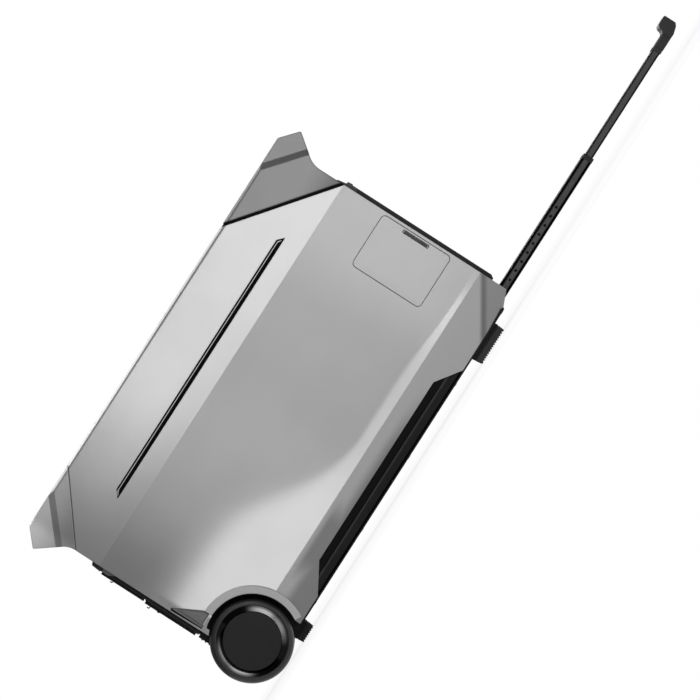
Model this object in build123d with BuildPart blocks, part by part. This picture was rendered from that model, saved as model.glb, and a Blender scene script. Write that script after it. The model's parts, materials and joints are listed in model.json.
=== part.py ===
"""A wheeled, suitcase-sized power station: side shells, carry handles, trolley handle, wheels and inner works.

Frame: +X points to the front (sockets, display, trolley handle), +Z up, the floor at Z 0, millimetres.
The right side is -Y. The origin is on the floor, midway between the tyres' rear and the extended grip's tip.
"""

import os
from math import atan2, cos, hypot, sin, sqrt

from build123d import *

# ---------------------------------------------------------------- driving dimensions
shell_length = 630.0  # rear plane to front plane of the side shells
shell_half_width = 165.0  # side shells at their widest, between the two creases
top_half_width = 145.0  # side shells where the upper slope meets the top
bottom_half_width = 147.0  # side shells at their bottom edge
height = 410.0
skin = 3.0  # wall of the side shells
shell_bottom = 18.0
lower_crease = 71.0
upper_crease = 297.0
top_edge_radius = 7.0
top_flange_half = 118.0  # inner edge of the shells' flange over the top
end_lip = 14.0  # width of the shells' front and rear flanges
end_wall = 4.0
gap = 0.4  # clearance between fixed pieces that seat on each other
moving_gap = 0.7  # clearance round doors, covers and buttons

wheel_radius = 59.0
wheel_width = 42.0
wheel_face = 168.0  # outer side of the tyres
axle_inset = 26.5  # axle ahead of the shells' rear plane
tyre_lift = 2.5  # tyres' height over the floor while it stands on its feet
axle_height = wheel_radius + tyre_lift
axle_radius = 6.0
axle_half = 159.0
axle_running_gap = 0.05
arch_gap = 7.0  # between tyre and wheel opening
arch_heel_gap = 2.0  # the same where the opening meets the shells' rear plane
arch_heel = 19.0  # behind the axle the opening narrows to the heel gap
arch_lip_width = 11.5
arch_radius = wheel_radius + arch_gap  # wheel opening in the side shells
arch_lip_radius = arch_radius + arch_lip_width
arch_lip_half = 166.2  # outer face of the lip round the wheel opening
liner_wall = 2.5
liner_inner = 119.0  # inner wall of the wheel wells

tube_spacing = 194.0  # between the two trolley tubes
tube_z = 31.0
outer_tube_height = 16.0
outer_tube_width = 24.0
outer_tube_radius = 4.2
outer_tube_wall = 1.8
outer_tube_length = 337.0
outer_tube_reach = 216.5  # ahead of the shells' front plane, extended
inner_tube_height = 11.6
inner_tube_width = 19.6
inner_tube_radius = 2.8
inner_tube_wall = 1.4
inner_tube_overlap = 80.0  # inside the outer tube, extended
inner_tube_reach = 175.0  # ahead of the outer tube, extended
grip_arm_length = 28.0
grip_head_length = 21.0
grip_height = 24.7
grip_floor = 24.0
grip_width = 226.0
release_proud = 1.0

horn_reach = 30.6  # horn tips beyond the shells' end planes
horn_top_reach = 5.0  # flat top of the horns beyond the shells' end planes
horn_tip_z = 387.5
horn_foot_z = 338.0
front_seam_top = 136.0  # front corner piece, its length along the top
front_seam_foot = 302.0
rear_seam_top = 95.5
rear_seam_foot = 335.0
seam_trim = 4.6  # black strip between the right and left shells and the front corner
well_half = 108.0  # half the width of the hand openings

front_panel_bottom = 51.5
front_panel_top = 276.5
front_panel_proud = 6.0
rear_panel_proud = 5.3
rear_panel_bottom = 45.0
rear_panel_top = 291.5
panel_wall = 3.0

tray_bottom = 15.5
tray_floor_top = 17.6
tray_half = 146.0
tray_wall_half = 116.5
tray_wall = 3.0
tray_wall_top = 44.0
foot_pad_height = 10.0
tooth_pitch = 3.7
tooth_depth = 1.7
tooth_half = 1.25  # half width of the grooves between the sole's teeth

# ---------------------------------------------------------------- places that follow from them
tyre_overhang = wheel_radius - axle_inset
handle_reach = outer_tube_reach + inner_tube_reach + grip_arm_length + grip_head_length + release_proud
rear_x = (tyre_overhang - shell_length - handle_reach) / 2
front_x = rear_x + shell_length
axle_x = rear_x + axle_inset
section_tall = height + 60.0


def side_at(z):
    """Half width of the side shells' outer face at height z."""
    if z > upper_crease:
        share = (z - upper_crease) / (height - upper_crease)
        return shell_half_width + (top_half_width - shell_half_width) * share
    if z < lower_crease:
        share = (z - shell_bottom) / (lower_crease - shell_bottom)
        return bottom_half_width + (shell_half_width - bottom_half_width) * share
    return shell_half_width


def write(piece, name):
    """Labels a finished sub-part and writes it to parts/NAME.step."""
    piece.part.label = name
    export_step(piece.part, f"parts/{name}.step")


def body_section(inset=0.0):
    """The body's closed cross-section, Y across and Z up, drawn in by inset."""
    half = [
        (bottom_half_width - inset, shell_bottom + inset),
        (shell_half_width - inset, lower_crease),
        (shell_half_width - inset, upper_crease),
        (top_half_width - inset, height - inset),
    ]
    with BuildSketch() as section:
        with BuildLine():
            Polyline(*half, *[(-y, z) for y, z in reversed(half)], close=True)
        make_face()
        fillet(section.vertices().group_by(Axis.Y)[-1], max(top_edge_radius - inset, 1.0))
    return section.sketch


def polygon(*points):
    """A closed polygon as a sketch."""
    with BuildSketch() as outline:
        with BuildLine():
            Polyline(*points, close=True)
        make_face()
    return outline.sketch


def box(x_span, y_span, z_span):
    """A plain block between two corners."""
    with BuildPart() as block:
        with Locations((sum(x_span) / 2, sum(y_span) / 2, sum(z_span) / 2)):
            Box(abs(x_span[1] - x_span[0]), abs(y_span[1] - y_span[0]), abs(z_span[1] - z_span[0]))
    return block.part


def facet_plane(points, side):
    """Plane of a facet through three x, z points, each with its depth below the side face."""
    first, second, third = [Vector(x, side * (side_at(z) - depth), z) for x, z, depth in points]
    normal = (second - first).cross(third - first).normalized()
    if normal.Y * side < 0:
        normal = normal * -1
    return Plane(origin=first, z_dir=normal)


def hull(inset, rear, front):
    """Solid of the body's outer form between two X planes, drawn in by inset."""
    with BuildPart() as form:
        with BuildSketch(Plane.YZ.offset(rear)):
            add(body_section(inset))
        extrude(amount=front - rear)
        for side in (-1, 1):
            corners = [(front_x, 68.0, 0.0), (front_x - 78.0, shell_bottom, 0.0), (front_x, shell_bottom, 7.0)]
            facet = facet_plane(corners, side)
            split(bisect_by=facet.offset(-inset), keep=Keep.BOTTOM)
    return form.part


def side_prism(outline, inner, outer):
    """A side-view outline stood out to the right (-Y), from |y| inner to outer."""
    with BuildPart() as prism:
        with BuildSketch(Plane.XZ.offset(inner)):
            add(outline)
        extrude(amount=outer - inner)
    return prism.part


def end_prism(outline, start, stop):
    """An end-view outline (Y across, Z up) run along X from start to stop."""
    with BuildPart() as prism:
        with BuildSketch(Plane.YZ.offset(start)):
            add(outline)
        extrude(amount=stop - start)
    return prism.part


def round_box(centre, size, radius):
    """A rounded rectangle in an end or side view, as a sketch."""
    with BuildSketch() as outline:
        with Locations(centre):
            RectangleRounded(*size, radius)
    return outline.sketch


def disc(centre, radius):
    """A circle in an end or side view, as a sketch."""
    with BuildSketch() as outline:
        with Locations(centre):
            Circle(radius)
    return outline.sketch


os.makedirs("parts", exist_ok=True)
wide = shell_half_width + 20.0

# ---------------------------------------------------------------- side shells
recess_rear, recess_front = rear_x + 126.6, rear_x + 503.3
recess_top = 43.6
recess_rear_top, recess_front_top = rear_x + 172.0, rear_x + 466.0
front_chamfer_x, front_chamfer_z = front_x - 23.2, shell_bottom + 10.0
arch_foot_z = 27.0
arch_foot_x = axle_x + sqrt(arch_radius**2 - (axle_height - arch_foot_z) ** 2)
arch_toe_x = arch_foot_x + 10.0
arch_top = axle_height + arch_radius

front_seam_angle = atan2(height - front_seam_foot, front_seam_top)
front_seam_drop = seam_trim / cos(front_seam_angle)
front_seam_shift = seam_trim / sin(front_seam_angle)
rear_seam_gap = 1.0

slot_rear, slot_front = rear_x + 91.4, rear_x + 523.7
slot_bottom, slot_top = 325.7, 334.5
slot_rear_slant, slot_front_slant = 11.0, 9.0

door_width, door_height, door_radius = 83.0, 111.8, 6.5
door_front_inset = 4.7  # door's front edge behind the shells' front plane
door_bottom = 116.4
door_thickness = 3.4
door_x = front_x - door_front_inset - door_width / 2
door_z = door_bottom + door_height / 2
hinge_inset, hinge_depth = 5.0, 1.5  # hinge pin from the door's rear edge and below its outer face
hinge_x = door_x - door_width / 2 + hinge_inset
hinge_y = -(shell_half_width - hinge_depth)
hinge_pin_radius = 1.0
pin_gap = 0.05
hinge_boss = 9.0
boss_depth = 4.0
pin_reach = 5.5  # hinge pin beyond the door opening

# the air scoops, each point ahead of the rear plane and above the top of the wheel opening
inset_points = [(1.4, 52.5), (5.0, 54.0), (26.0, 13.5), (26.0, 3.3), (2.8, 2.5)]
flange_points = [(4.4, 58.5), (31.0, 16.5), (31.0, 8.5), (4.4, 8.5)]
vent_outline = polygon(*[(rear_x + x, arch_top + rise) for x, rise in inset_points])
vent_flange = polygon(*[(rear_x + x, arch_top + rise) for x, rise in flange_points])
recess_outline = polygon(
    (recess_rear, shell_bottom - 1.0),
    (recess_rear_top, recess_top),
    (recess_front_top, recess_top),
    (recess_front, shell_bottom - 1.0),
)
slot_outline = polygon(
    (slot_rear, slot_bottom),
    (slot_front, slot_bottom),
    (slot_front - slot_front_slant, slot_top),
    (slot_rear + slot_rear_slant, slot_top),
)
shell_outline = polygon(
    (arch_foot_x, shell_bottom),
    (front_chamfer_x, shell_bottom),
    (front_x, front_chamfer_z),
    (front_x, front_seam_foot - front_seam_drop),
    (front_x - front_seam_top - front_seam_shift, height),
    (rear_x + rear_seam_top, height),
    (rear_x, rear_seam_foot),
    (rear_x, axle_height),
    (axle_x, axle_height),
    (arch_foot_x, arch_foot_z),
)


def make_shell(has_door):
    """The right-hand side shell, with or without the opening for the port door."""
    with BuildPart() as shell:
        add(hull(0.0, rear_x, front_x))
        add(hull(skin, rear_x + end_wall, front_x - end_wall), mode=Mode.SUBTRACT)
        add(hull(end_lip, rear_x - 1.0, front_x + 1.0), mode=Mode.SUBTRACT)
        add(side_prism(shell_outline, top_flange_half, wide), mode=Mode.INTERSECT)
        add(side_prism(slot_outline, top_flange_half, wide), mode=Mode.SUBTRACT)
        add(side_prism(vent_outline, top_flange_half, wide), mode=Mode.SUBTRACT)
        add(side_prism(recess_outline, top_flange_half - 1.0, wide), mode=Mode.SUBTRACT)
        with BuildSketch(Plane.XZ.offset(top_flange_half)):
            with Locations((axle_x, axle_height)):
                Circle(arch_radius)
            add(polygon((axle_x - arch_heel, 0.0), (front_x, 0.0), (front_x, height), (axle_x - arch_heel, height)),
                mode=Mode.INTERSECT)
            with Locations((axle_x, axle_height)):
                Circle(wheel_radius + arch_heel_gap)
        extrude(amount=wide - top_flange_half, mode=Mode.SUBTRACT)
        # raised lip round the wheel opening
        with BuildSketch(Plane.XZ.offset(shell_half_width - skin)):
            with Locations((axle_x, axle_height)):
                Circle(arch_lip_radius)
                Circle(arch_radius, mode=Mode.SUBTRACT)
            add(polygon((axle_x, axle_height), (arch_foot_x + 14.0, arch_foot_z - 9.0),
                        (arch_foot_x + 40.0, arch_foot_z - 9.0), (arch_foot_x + 40.0, height), (axle_x, height)),
                mode=Mode.INTERSECT)
        extrude(amount=arch_lip_half - shell_half_width + skin)
        chamfer(shell.edges().filter_by(GeomType.CIRCLE).group_by(Axis.Y)[0], 0.6)
        if has_door:
            boss_inner = shell_half_width - skin - boss_depth
            boss_height = door_height + 2 * moving_gap + 2 * hinge_boss
            add(side_prism(round_box((hinge_x, door_z), (hinge_boss, boss_height), 1.0),
                           boss_inner, shell_half_width - skin))
            add(side_prism(round_box((door_x, door_z), (door_width + 2 * moving_gap, door_height + 2 * moving_gap),
                                     door_radius + moving_gap), boss_inner - 1.0, wide), mode=Mode.SUBTRACT)
            with BuildSketch(Plane.XY.offset(door_z - door_height / 2 - moving_gap - pin_reach)):
                with Locations((hinge_x, hinge_y)):
                    Circle(hinge_pin_radius + pin_gap)
            extrude(amount=door_height + 2 * moving_gap + 2 * pin_reach, mode=Mode.SUBTRACT)
    return shell


right_shell = make_shell(has_door=True)
write(right_shell, "right_shell")

plain_shell = make_shell(has_door=False)
with BuildPart() as left_shell:
    mirror(plain_shell.part, about=Plane.XZ)
write(left_shell, "left_shell")


# ---------------------------------------------------------------- inserts seated in the shells
def insert_for(face, flange, face_inset, depth):
    """A right-hand insert: its face fills a shell opening and its flange sits behind the skin."""
    rear, front = rear_x + end_wall, front_x - end_wall
    with BuildPart() as plug:
        add(side_prism(face, top_flange_half, wide))
        add(hull(face_inset, rear, front), mode=Mode.INTERSECT)
    with BuildPart() as rim:
        add(side_prism(flange, top_flange_half, wide))
        add(hull(skin + gap, rear + gap, front - gap), mode=Mode.INTERSECT)
    with BuildPart() as insert:
        add(plug.part)
        add(rim.part)
        add(hull(depth, rear - 1.0, front + 1.0), mode=Mode.SUBTRACT)
    return insert.part


recess_face = polygon(
    (recess_rear + 3.0, shell_bottom),
    (recess_rear_top + 0.6, recess_top - gap),
    (recess_front_top - 0.6, recess_top - gap),
    (recess_front - 3.0, shell_bottom),
)
recess_flange = polygon(
    (recess_rear - 2.0, shell_bottom + 4.0),
    (recess_rear_top - 4.0, recess_top + 5.0),
    (recess_front_top + 4.0, recess_top + 5.0),
    (recess_front + 2.0, shell_bottom + 4.0),
)
recess_ledge_z, recess_ledge_height = 31.0, 1.6
with BuildPart() as recess_inserts:
    add(insert_for(recess_face, recess_flange, 2.2, 6.0))
    ledge = polygon(
        (recess_rear + 40.0, recess_ledge_z),
        (recess_front - 40.0, recess_ledge_z),
        (recess_front - 42.0, recess_ledge_z + recess_ledge_height),
        (recess_rear + 42.0, recess_ledge_z + recess_ledge_height),
    )
    with BuildPart(mode=Mode.PRIVATE) as ridge:
        add(side_prism(ledge, top_flange_half, wide))
        add(hull(1.0, rear_x, front_x), mode=Mode.INTERSECT)
        add(hull(3.0, rear_x, front_x), mode=Mode.SUBTRACT)
    add(ridge.part)
    mirror(about=Plane.XZ)
write(recess_inserts, "recess_inserts")

slot_face = polygon(
    (slot_rear + 0.8, slot_bottom + gap),
    (slot_front - 0.8, slot_bottom + gap),
    (slot_front - slot_front_slant - 0.2, slot_top - gap),
    (slot_rear + slot_rear_slant + 0.2, slot_top - gap),
)
slot_flange = polygon(
    (slot_rear - 4.0, slot_bottom - 4.0),
    (slot_front + 4.0, slot_bottom - 4.0),
    (slot_front - 2.0, slot_top + 4.0),
    (slot_rear + 4.0, slot_top + 4.0),
)
slot_groove = 0.9
with BuildPart() as slot_inserts:
    add(insert_for(slot_face, slot_flange, 0.6, 6.0))
    for groove_z in (slot_bottom + 2.4, slot_top - 2.4):
        groove = polygon(
            (slot_rear + 12.0, groove_z - slot_groove / 2),
            (slot_front - 12.0, groove_z - slot_groove / 2),
            (slot_front - 12.0, groove_z + slot_groove / 2),
            (slot_rear + 12.0, groove_z + slot_groove / 2),
        )
        add(side_prism(groove, top_flange_half, wide), mode=Mode.SUBTRACT)
    mirror(about=Plane.XZ)
write(slot_inserts, "slot_inserts")

vent_points = [(4.2, 51.7), (5.0, 52.1), (25.4, 13.3), (25.4, 3.9), (4.2, 3.1)]
vent_face = polygon(*[(rear_x + x, arch_top + rise) for x, rise in vent_points])
with BuildPart() as vent_inserts:
    add(insert_for(vent_face, vent_flange, 2.0, 6.0))
    mirror(about=Plane.XZ)
write(vent_inserts, "vent_inserts")


# ---------------------------------------------------------------- carry-handle corner pieces
front_under_reach, front_under_z = 10.1, 361.0
rear_under_reach, rear_under_z = 6.9, 356.0
horn_wall = 3.0
well_back, well_floor, well_roof = 38.0, 342.0, 400.0
lip_rear, lip_floor = 9.0, 376.0
step_width, step_depth, tip_depth = 9.0, 3.4, 1.2  # hollow along the crease towards the tips


def make_horn(end, way, seam_top, seam_foot, under_reach, under_z, crease):
    """A corner piece with a hand opening under its lip; way is +1 at the front and -1 at the rear."""
    def at(reach, z):
        return end + way * reach, z

    with BuildSketch() as outline:
        with BuildLine():
            Polyline(at(-seam_top, height), at(horn_top_reach, height), at(horn_reach, horn_tip_z),
                     at(under_reach, under_z))
            ThreePointArc(at(under_reach, under_z), at(0.3 * under_reach, (under_z + horn_foot_z) / 2 + 1.0),
                          at(0.0, horn_foot_z))
            Polyline(at(0.0, horn_foot_z), at(0.0, seam_foot), at(-seam_top, height))
        make_face()
        outer = outline.vertices().sort_by(Axis.X)
        tip = outer[-1] if way > 0 else outer[0]
        fillet(tip, 2.5)
    inner = polygon(at(-seam_top - 60.0, height - horn_wall), at(-well_back - horn_wall, height - horn_wall),
                    at(-well_back - horn_wall, well_floor - horn_wall), at(-horn_wall, well_floor - horn_wall),
                    at(-horn_wall, seam_foot - 50.0), at(-seam_top - 60.0, seam_foot - 50.0))
    well = polygon(at(-well_back, well_floor), at(-well_back, well_roof - 8.0), at(8.0 - well_back, well_roof),
                   at(lip_rear - 4.0, well_roof), at(lip_rear, lip_floor), at(horn_reach + 20.0, lip_floor),
                   at(horn_reach + 20.0, well_floor))
    (top_reach, top_z), (foot_reach, foot_z) = crease
    crease_length = hypot(foot_reach - top_reach, foot_z - top_z)
    shift_reach = step_width * (top_z - foot_z) / crease_length
    shift_z = step_width * (foot_reach - top_reach) / crease_length
    step = facet_plane([(*at(top_reach, top_z), 0.0), (*at(foot_reach, foot_z), 0.0),
                        (*at(top_reach + shift_reach, top_z + shift_z), step_depth)], -1)
    face = facet_plane([(*at(top_reach + shift_reach, top_z + shift_z), step_depth),
                        (*at(foot_reach + shift_reach, foot_z + shift_z), step_depth),
                        (*at(horn_reach, horn_tip_z), tip_depth)], -1)
    with BuildPart() as hollow:
        add(side_prism(outline.sketch, well_half, wide))
        split(bisect_by=step, keep=Keep.TOP)
        split(bisect_by=face, keep=Keep.TOP)
        mirror(about=Plane.XZ)
    low, high = sorted((end + way * (horn_reach + 10.0), end - way * (seam_top + 70.0)))
    with BuildPart() as core:
        add(side_prism(inner, -wide, wide))
        add(end_prism(body_section(horn_wall), low, high), mode=Mode.INTERSECT)
    with BuildPart() as horn:
        add(side_prism(outline.sketch, -wide, wide))
        add(end_prism(body_section(), low, high), mode=Mode.INTERSECT)
        add(hollow.part, mode=Mode.SUBTRACT)
        add(core.part, mode=Mode.SUBTRACT)
        add(side_prism(well, -well_half, well_half), mode=Mode.SUBTRACT)
    return horn


front_horn = make_horn(front_x, 1, front_seam_top, front_seam_foot, front_under_reach, front_under_z,
                       [(-51.0, height), (10.0, 359.0)])
write(front_horn, "front_horn")

rear_seam_shift = rear_seam_gap / sin(atan2(height - rear_seam_foot, rear_seam_top))
rear_horn = make_horn(rear_x, -1, rear_seam_top - rear_seam_shift, rear_seam_foot + rear_seam_gap, rear_under_reach, rear_under_z,
                      [(-58.0, height), (4.5, 356.0)])
write(rear_horn, "rear_horn")

# black strip that closes the joint between shells, deck and front corner piece
strip_inset, strip_clear = 1.2, 0.3
strip_shift = strip_clear / sin(front_seam_angle)
strip_drop = strip_clear / cos(front_seam_angle)
with BuildPart() as seam_strip:
    add(side_prism(polygon(
        (front_x - front_seam_top - strip_shift, height),
        (front_x - front_seam_top - front_seam_shift + strip_shift, height),
        (front_x, front_seam_foot - front_seam_drop + strip_drop),
        (front_x, front_seam_foot - strip_drop),
    ), -wide, wide))
    add(hull(strip_inset, rear_x, front_x), mode=Mode.INTERSECT)
    add(hull(horn_wall, rear_x, front_x + 1.0), mode=Mode.SUBTRACT)
write(seam_strip, "seam_strip")

# ---------------------------------------------------------------- top deck
deck_rear = rear_x + rear_seam_top + gap
deck_front = front_x - front_seam_top - front_seam_shift - gap
deck_top, deck_bottom = height - 0.6, height - 6.0
mat_half, mat_end_gap, mat_depth, mat_thickness = 88.0, 26.0, 1.6, 2.2
deck_middle, deck_length = (deck_rear + deck_front) / 2, deck_front - deck_rear
with BuildPart() as top_deck:
    add(box((deck_rear, deck_front), (gap - top_flange_half, top_flange_half - gap), (deck_bottom, deck_top)))
    add(box((deck_rear + 12.0, deck_front - 2.0), (-top_flange_half - 8.0, top_flange_half + 8.0),
            (deck_bottom, height - skin - gap)))
    with BuildSketch(Plane.XY.offset(deck_top - mat_depth)):
        with Locations((deck_middle, 0)):
            RectangleRounded(deck_length - 2 * mat_end_gap, 2 * mat_half, 12.0)
    extrude(amount=mat_depth + 1.0, mode=Mode.SUBTRACT)
write(top_deck, "top_deck")

with BuildPart() as top_mat:
    with BuildSketch(Plane.XY.offset(deck_top - mat_depth)):
        with Locations((deck_middle, 0)):
            RectangleRounded(deck_length - 2 * mat_end_gap - 2 * gap, 2 * mat_half - 2 * gap, 12.0 - gap)
    extrude(amount=mat_thickness)
write(top_mat, "top_mat")


# ---------------------------------------------------------------- base tray
tray_rear_wide = axle_x + arch_radius + 0.1  # behind this the tray runs between the wheel wells
sill_top = front_panel_bottom - 0.7
tray_slope_x, sill_bottom = front_x - 25.0, 33.0
tray_rear = rear_x + 0.5
tube_y = tube_spacing / 2
tube_hole_gap = 0.5
bracket_wall, bracket_height = 5.0, axle_height + 16.5
sleeve_wall = 2.0
sleeve_half_width = outer_tube_width / 2 + gap + sleeve_wall
sleeve_half_height = outer_tube_height / 2 + gap + sleeve_wall
with BuildPart() as base_tray:
    add(box((tray_rear_wide, tray_slope_x), (-tray_half, tray_half), (tray_bottom, tray_floor_top)))
    add(box((tray_rear, tray_rear_wide), (-tray_wall_half, tray_wall_half), (tray_bottom, tray_floor_top)))
    add(side_prism(polygon(
        (tray_slope_x - 1.0, tray_bottom),
        (tray_slope_x + 0.4, tray_bottom),
        (front_chamfer_x + 0.6, shell_bottom + 0.5),
        (front_x, front_chamfer_z + 0.3),
        (front_x, sill_bottom + 1.0),
        (front_x - 3.5, sill_bottom + 1.0),
        (front_x - 3.5, front_chamfer_z + 1.5),
        (tray_slope_x + 1.0, tray_floor_top + 2.8),
        (tray_slope_x - 1.0, tray_floor_top),
    ), gap - top_flange_half, top_flange_half - gap))
    add(side_prism(polygon(
        (front_x - 15.8, 21.4),
        (front_x - 4.6, 26.3),
        (front_x - 4.6, 28.6),
        (front_x - 15.8, 23.8),
    ), -130.0, 130.0))
    with BuildPart(mode=Mode.PRIVATE) as sill:
        add(hull(end_lip + gap, front_x - 3.5, front_x))
        add(box((front_x - 10.0, front_x + 1.0), (-wide, wide), (sill_bottom, sill_top)), mode=Mode.INTERSECT)
    add(sill.part)
    for side in (-1, 1):
        y_span = sorted((side * (tray_wall_half - tray_wall), side * tray_wall_half))
        add(box((tray_rear, front_x - 3.5), y_span, (tray_bottom, tray_wall_top)))
        y_span = sorted((side * (tray_wall_half - bracket_wall), side * tray_wall_half))
        add(box((axle_x - 14.0, axle_x + 14.0), y_span, (tray_bottom, bracket_height)))
    # the walls end at the slope under the front edge
    add(side_prism(polygon(
        (tray_slope_x + 0.4, tray_bottom),
        (front_chamfer_x + 0.6, shell_bottom + 0.5),
        (front_x, front_chamfer_z + 0.3),
        (front_x, tray_bottom - 1.0),
        (tray_slope_x + 0.4, tray_bottom - 1.0),
    ), -wide, wide), mode=Mode.SUBTRACT)
    for side in (-1, 1):
        with Locations((front_x - 20.0, side * tube_y, tube_z)):
            Box(44.0, outer_tube_width + 2 * tube_hole_gap, outer_tube_height + 2 * tube_hole_gap,
                mode=Mode.SUBTRACT)
    with BuildSketch(Plane.XZ.offset(-tray_half)):
        with Locations((axle_x, axle_height)):
            Circle(axle_radius + axle_running_gap)
    extrude(amount=2 * tray_half, mode=Mode.SUBTRACT)
write(base_tray, "base_tray")

# ---------------------------------------------------------------- feet
front_foot_x, front_foot_length = front_x - 77.5, 58.0
rear_foot_x, rear_foot_length = rear_x + 75.4, 26.0
foot_half, foot_inner = 44.0, 60.0


def make_feet(middle, length, inner, outer):
    """A pair of rubber feet: a block under the tray and a ribbed sole."""
    teeth = int((length - 3.0) // tooth_pitch)
    first = middle - (teeth - 1) * tooth_pitch / 2
    with BuildPart() as feet:
        sole = polygon(
            (middle - length / 2 + 1.0, 0.0),
            (middle + length / 2 - 1.0, 0.0),
            (middle + length / 2, foot_pad_height - 0.8),
            (middle + length / 2 - 0.8, foot_pad_height),
            (middle + length / 2 + 0.4, foot_pad_height + 0.8),
            (middle + length / 2 + 0.4, tray_bottom),
            (middle - length / 2 - 0.4, tray_bottom),
            (middle - length / 2 - 0.4, foot_pad_height + 0.8),
            (middle - length / 2 + 0.8, foot_pad_height),
            (middle - length / 2, foot_pad_height - 0.8),
        )
        add(side_prism(sole, inner, outer))
        with BuildSketch(Plane.XZ.offset(inner - 1.0)):
            for x in [first + tooth_pitch * index for index in range(teeth)]:
                add(polygon((x - tooth_half, -0.01), (x + tooth_half, -0.01), (x, tooth_depth)))
        extrude(amount=outer - inner + 2.0, mode=Mode.SUBTRACT)
        mirror(about=Plane.XZ)
    return feet


write(make_feet(front_foot_x, front_foot_length, tray_half - 6.0 - foot_half, tray_half - 6.0), "front_feet")
write(make_feet(rear_foot_x, rear_foot_length, foot_inner, tray_wall_half - 3.0), "rear_feet")

# ---------------------------------------------------------------- wheels
axle_head_radius, axle_head = 9.0, 1.6
tyre_seat = 50.0
rim_inner = 46.0
hub_radius, hub_inner, hub_outer = 14.0, 124.5, axle_half - 0.5
web_inner, web_outer = 141.0, 146.0
dish_inner_radius, dish_foot = 41.7, 160.0  # conical dish between tyre and hub cap
cap_radius, cap_face = 41.0, 164.0
cap_proud = 170.5
wheel_inner = wheel_face - wheel_width
axle_point = (axle_x, axle_height)
with BuildPart() as axle:
    add(side_prism(disc(axle_point, axle_radius), -axle_half, axle_half))
    for side in (-1, 1):
        span = sorted((side * axle_half, side * (axle_half + axle_head)))
        add(side_prism(disc(axle_point, axle_head_radius), *span))
write(axle, "axle")


def turned(profile, side):
    """A wheel piece turned about the axle from a (radius, |y|) outline."""
    with BuildPart() as piece:
        with BuildSketch(Plane(origin=(axle_x, 0, axle_height), x_dir=(1, 0, 0), z_dir=(0, 0, side))):
            add(polygon(*profile))
        revolve(axis=Axis((axle_x, 0, axle_height), (0, 1, 0)))
    return piece.part


def make_tyre(side):
    """A solid tyre with a crowned, grooved tread."""
    groove_depth, groove_half = 2.4, 1.5
    profile = [(tyre_seat, wheel_inner + 3.0), (tyre_seat + 2.0, wheel_inner), (wheel_radius - 5.0, wheel_inner),
               (wheel_radius - 1.0, wheel_inner + 6.0)]
    for middle in (wheel_inner + 13.0, (wheel_inner + wheel_face) / 2, wheel_face - 13.0):
        profile += [(wheel_radius, middle - groove_half), (wheel_radius - groove_depth, middle - groove_half + 0.5),
                    (wheel_radius - groove_depth, middle + groove_half - 0.5), (wheel_radius, middle + groove_half)]
    profile += [(wheel_radius - 0.3, wheel_face - 7.5), (wheel_radius - 1.4, wheel_face - 4.0),
                (wheel_radius - 3.2, wheel_face - 1.5), (wheel_radius - 5.6, wheel_face - 0.2),
                (tyre_seat + 1.6, wheel_face), (tyre_seat, wheel_face - 1.0)]
    with BuildPart() as tyre:
        add(turned(profile, side))
    return tyre


def make_rim(side):
    """The wheel's rim: hub, pierced web, barrel and conical dish."""
    bore = axle_radius + axle_running_gap
    profile = [(bore, hub_inner), (hub_radius, hub_inner), (hub_radius, web_inner), (rim_inner, web_inner),
               (rim_inner, wheel_inner + 1.0), (tyre_seat, wheel_inner + 1.0), (tyre_seat, wheel_face - 1.4),
               (tyre_seat - 0.8, wheel_face - 0.8), (dish_inner_radius, dish_foot),
               (dish_inner_radius, dish_foot - 4.0), (rim_inner, dish_foot - 7.5), (rim_inner, web_outer),
               (hub_radius, web_outer), (hub_radius, hub_outer), (bore, hub_outer)]
    with BuildPart() as rim:
        add(turned(profile, side))
        with BuildSketch(Plane.XZ.offset(-side * (web_inner - 1.0))):
            with Locations(axle_point):
                with PolarLocations(27.0, 6):
                    Circle(6.0)
        extrude(amount=-side * (web_outer - web_inner + 2.0), mode=Mode.SUBTRACT)
    return rim


def make_hub_cap(side):
    """A flat disc clipped to the rim's web by a ring behind it."""
    profile = [(0.0, cap_face), (30.0, cap_face), (30.0, web_outer), (33.0, web_outer), (33.0, cap_face),
               (37.0, cap_face), (37.0, dish_foot - 2.0), (cap_radius, dish_foot - 2.0),
               (cap_radius, cap_proud - 0.9), (cap_radius - 0.9, cap_proud), (0.0, cap_proud)]
    with BuildPart() as cap:
        add(turned(profile, side))
    return cap


for side, name in ((-1, "right"), (1, "left")):
    write(make_tyre(side), f"{name}_tyre")
    write(make_rim(side), f"{name}_rim")
    write(make_hub_cap(side), f"{name}_hub_cap")

liner_outer_radius = arch_radius + 3.0
with BuildPart() as wheel_liners:
    with BuildSketch(Plane.XZ.offset(liner_inner)):
        with Locations(axle_point):
            Circle(liner_outer_radius)
    extrude(amount=bottom_half_width - skin - 1.0 - liner_inner)
    with BuildSketch(Plane.XZ.offset(liner_inner + liner_wall)):
        with Locations(axle_point):
            Circle(liner_outer_radius - liner_wall)
    extrude(amount=wheel_width, mode=Mode.SUBTRACT)
    add(box((rear_x + end_wall + gap, rear_x + 200.0), (-wide, wide), (shell_bottom + skin + gap, height)),
        mode=Mode.INTERSECT)
    with BuildSketch(Plane.XZ.offset(liner_inner - 1.0)):
        with Locations(axle_point):
            Circle(axle_radius + 0.6)
    extrude(amount=wheel_width, mode=Mode.SUBTRACT)
    mirror(about=Plane.XZ)
write(wheel_liners, "wheel_liners")

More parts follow.
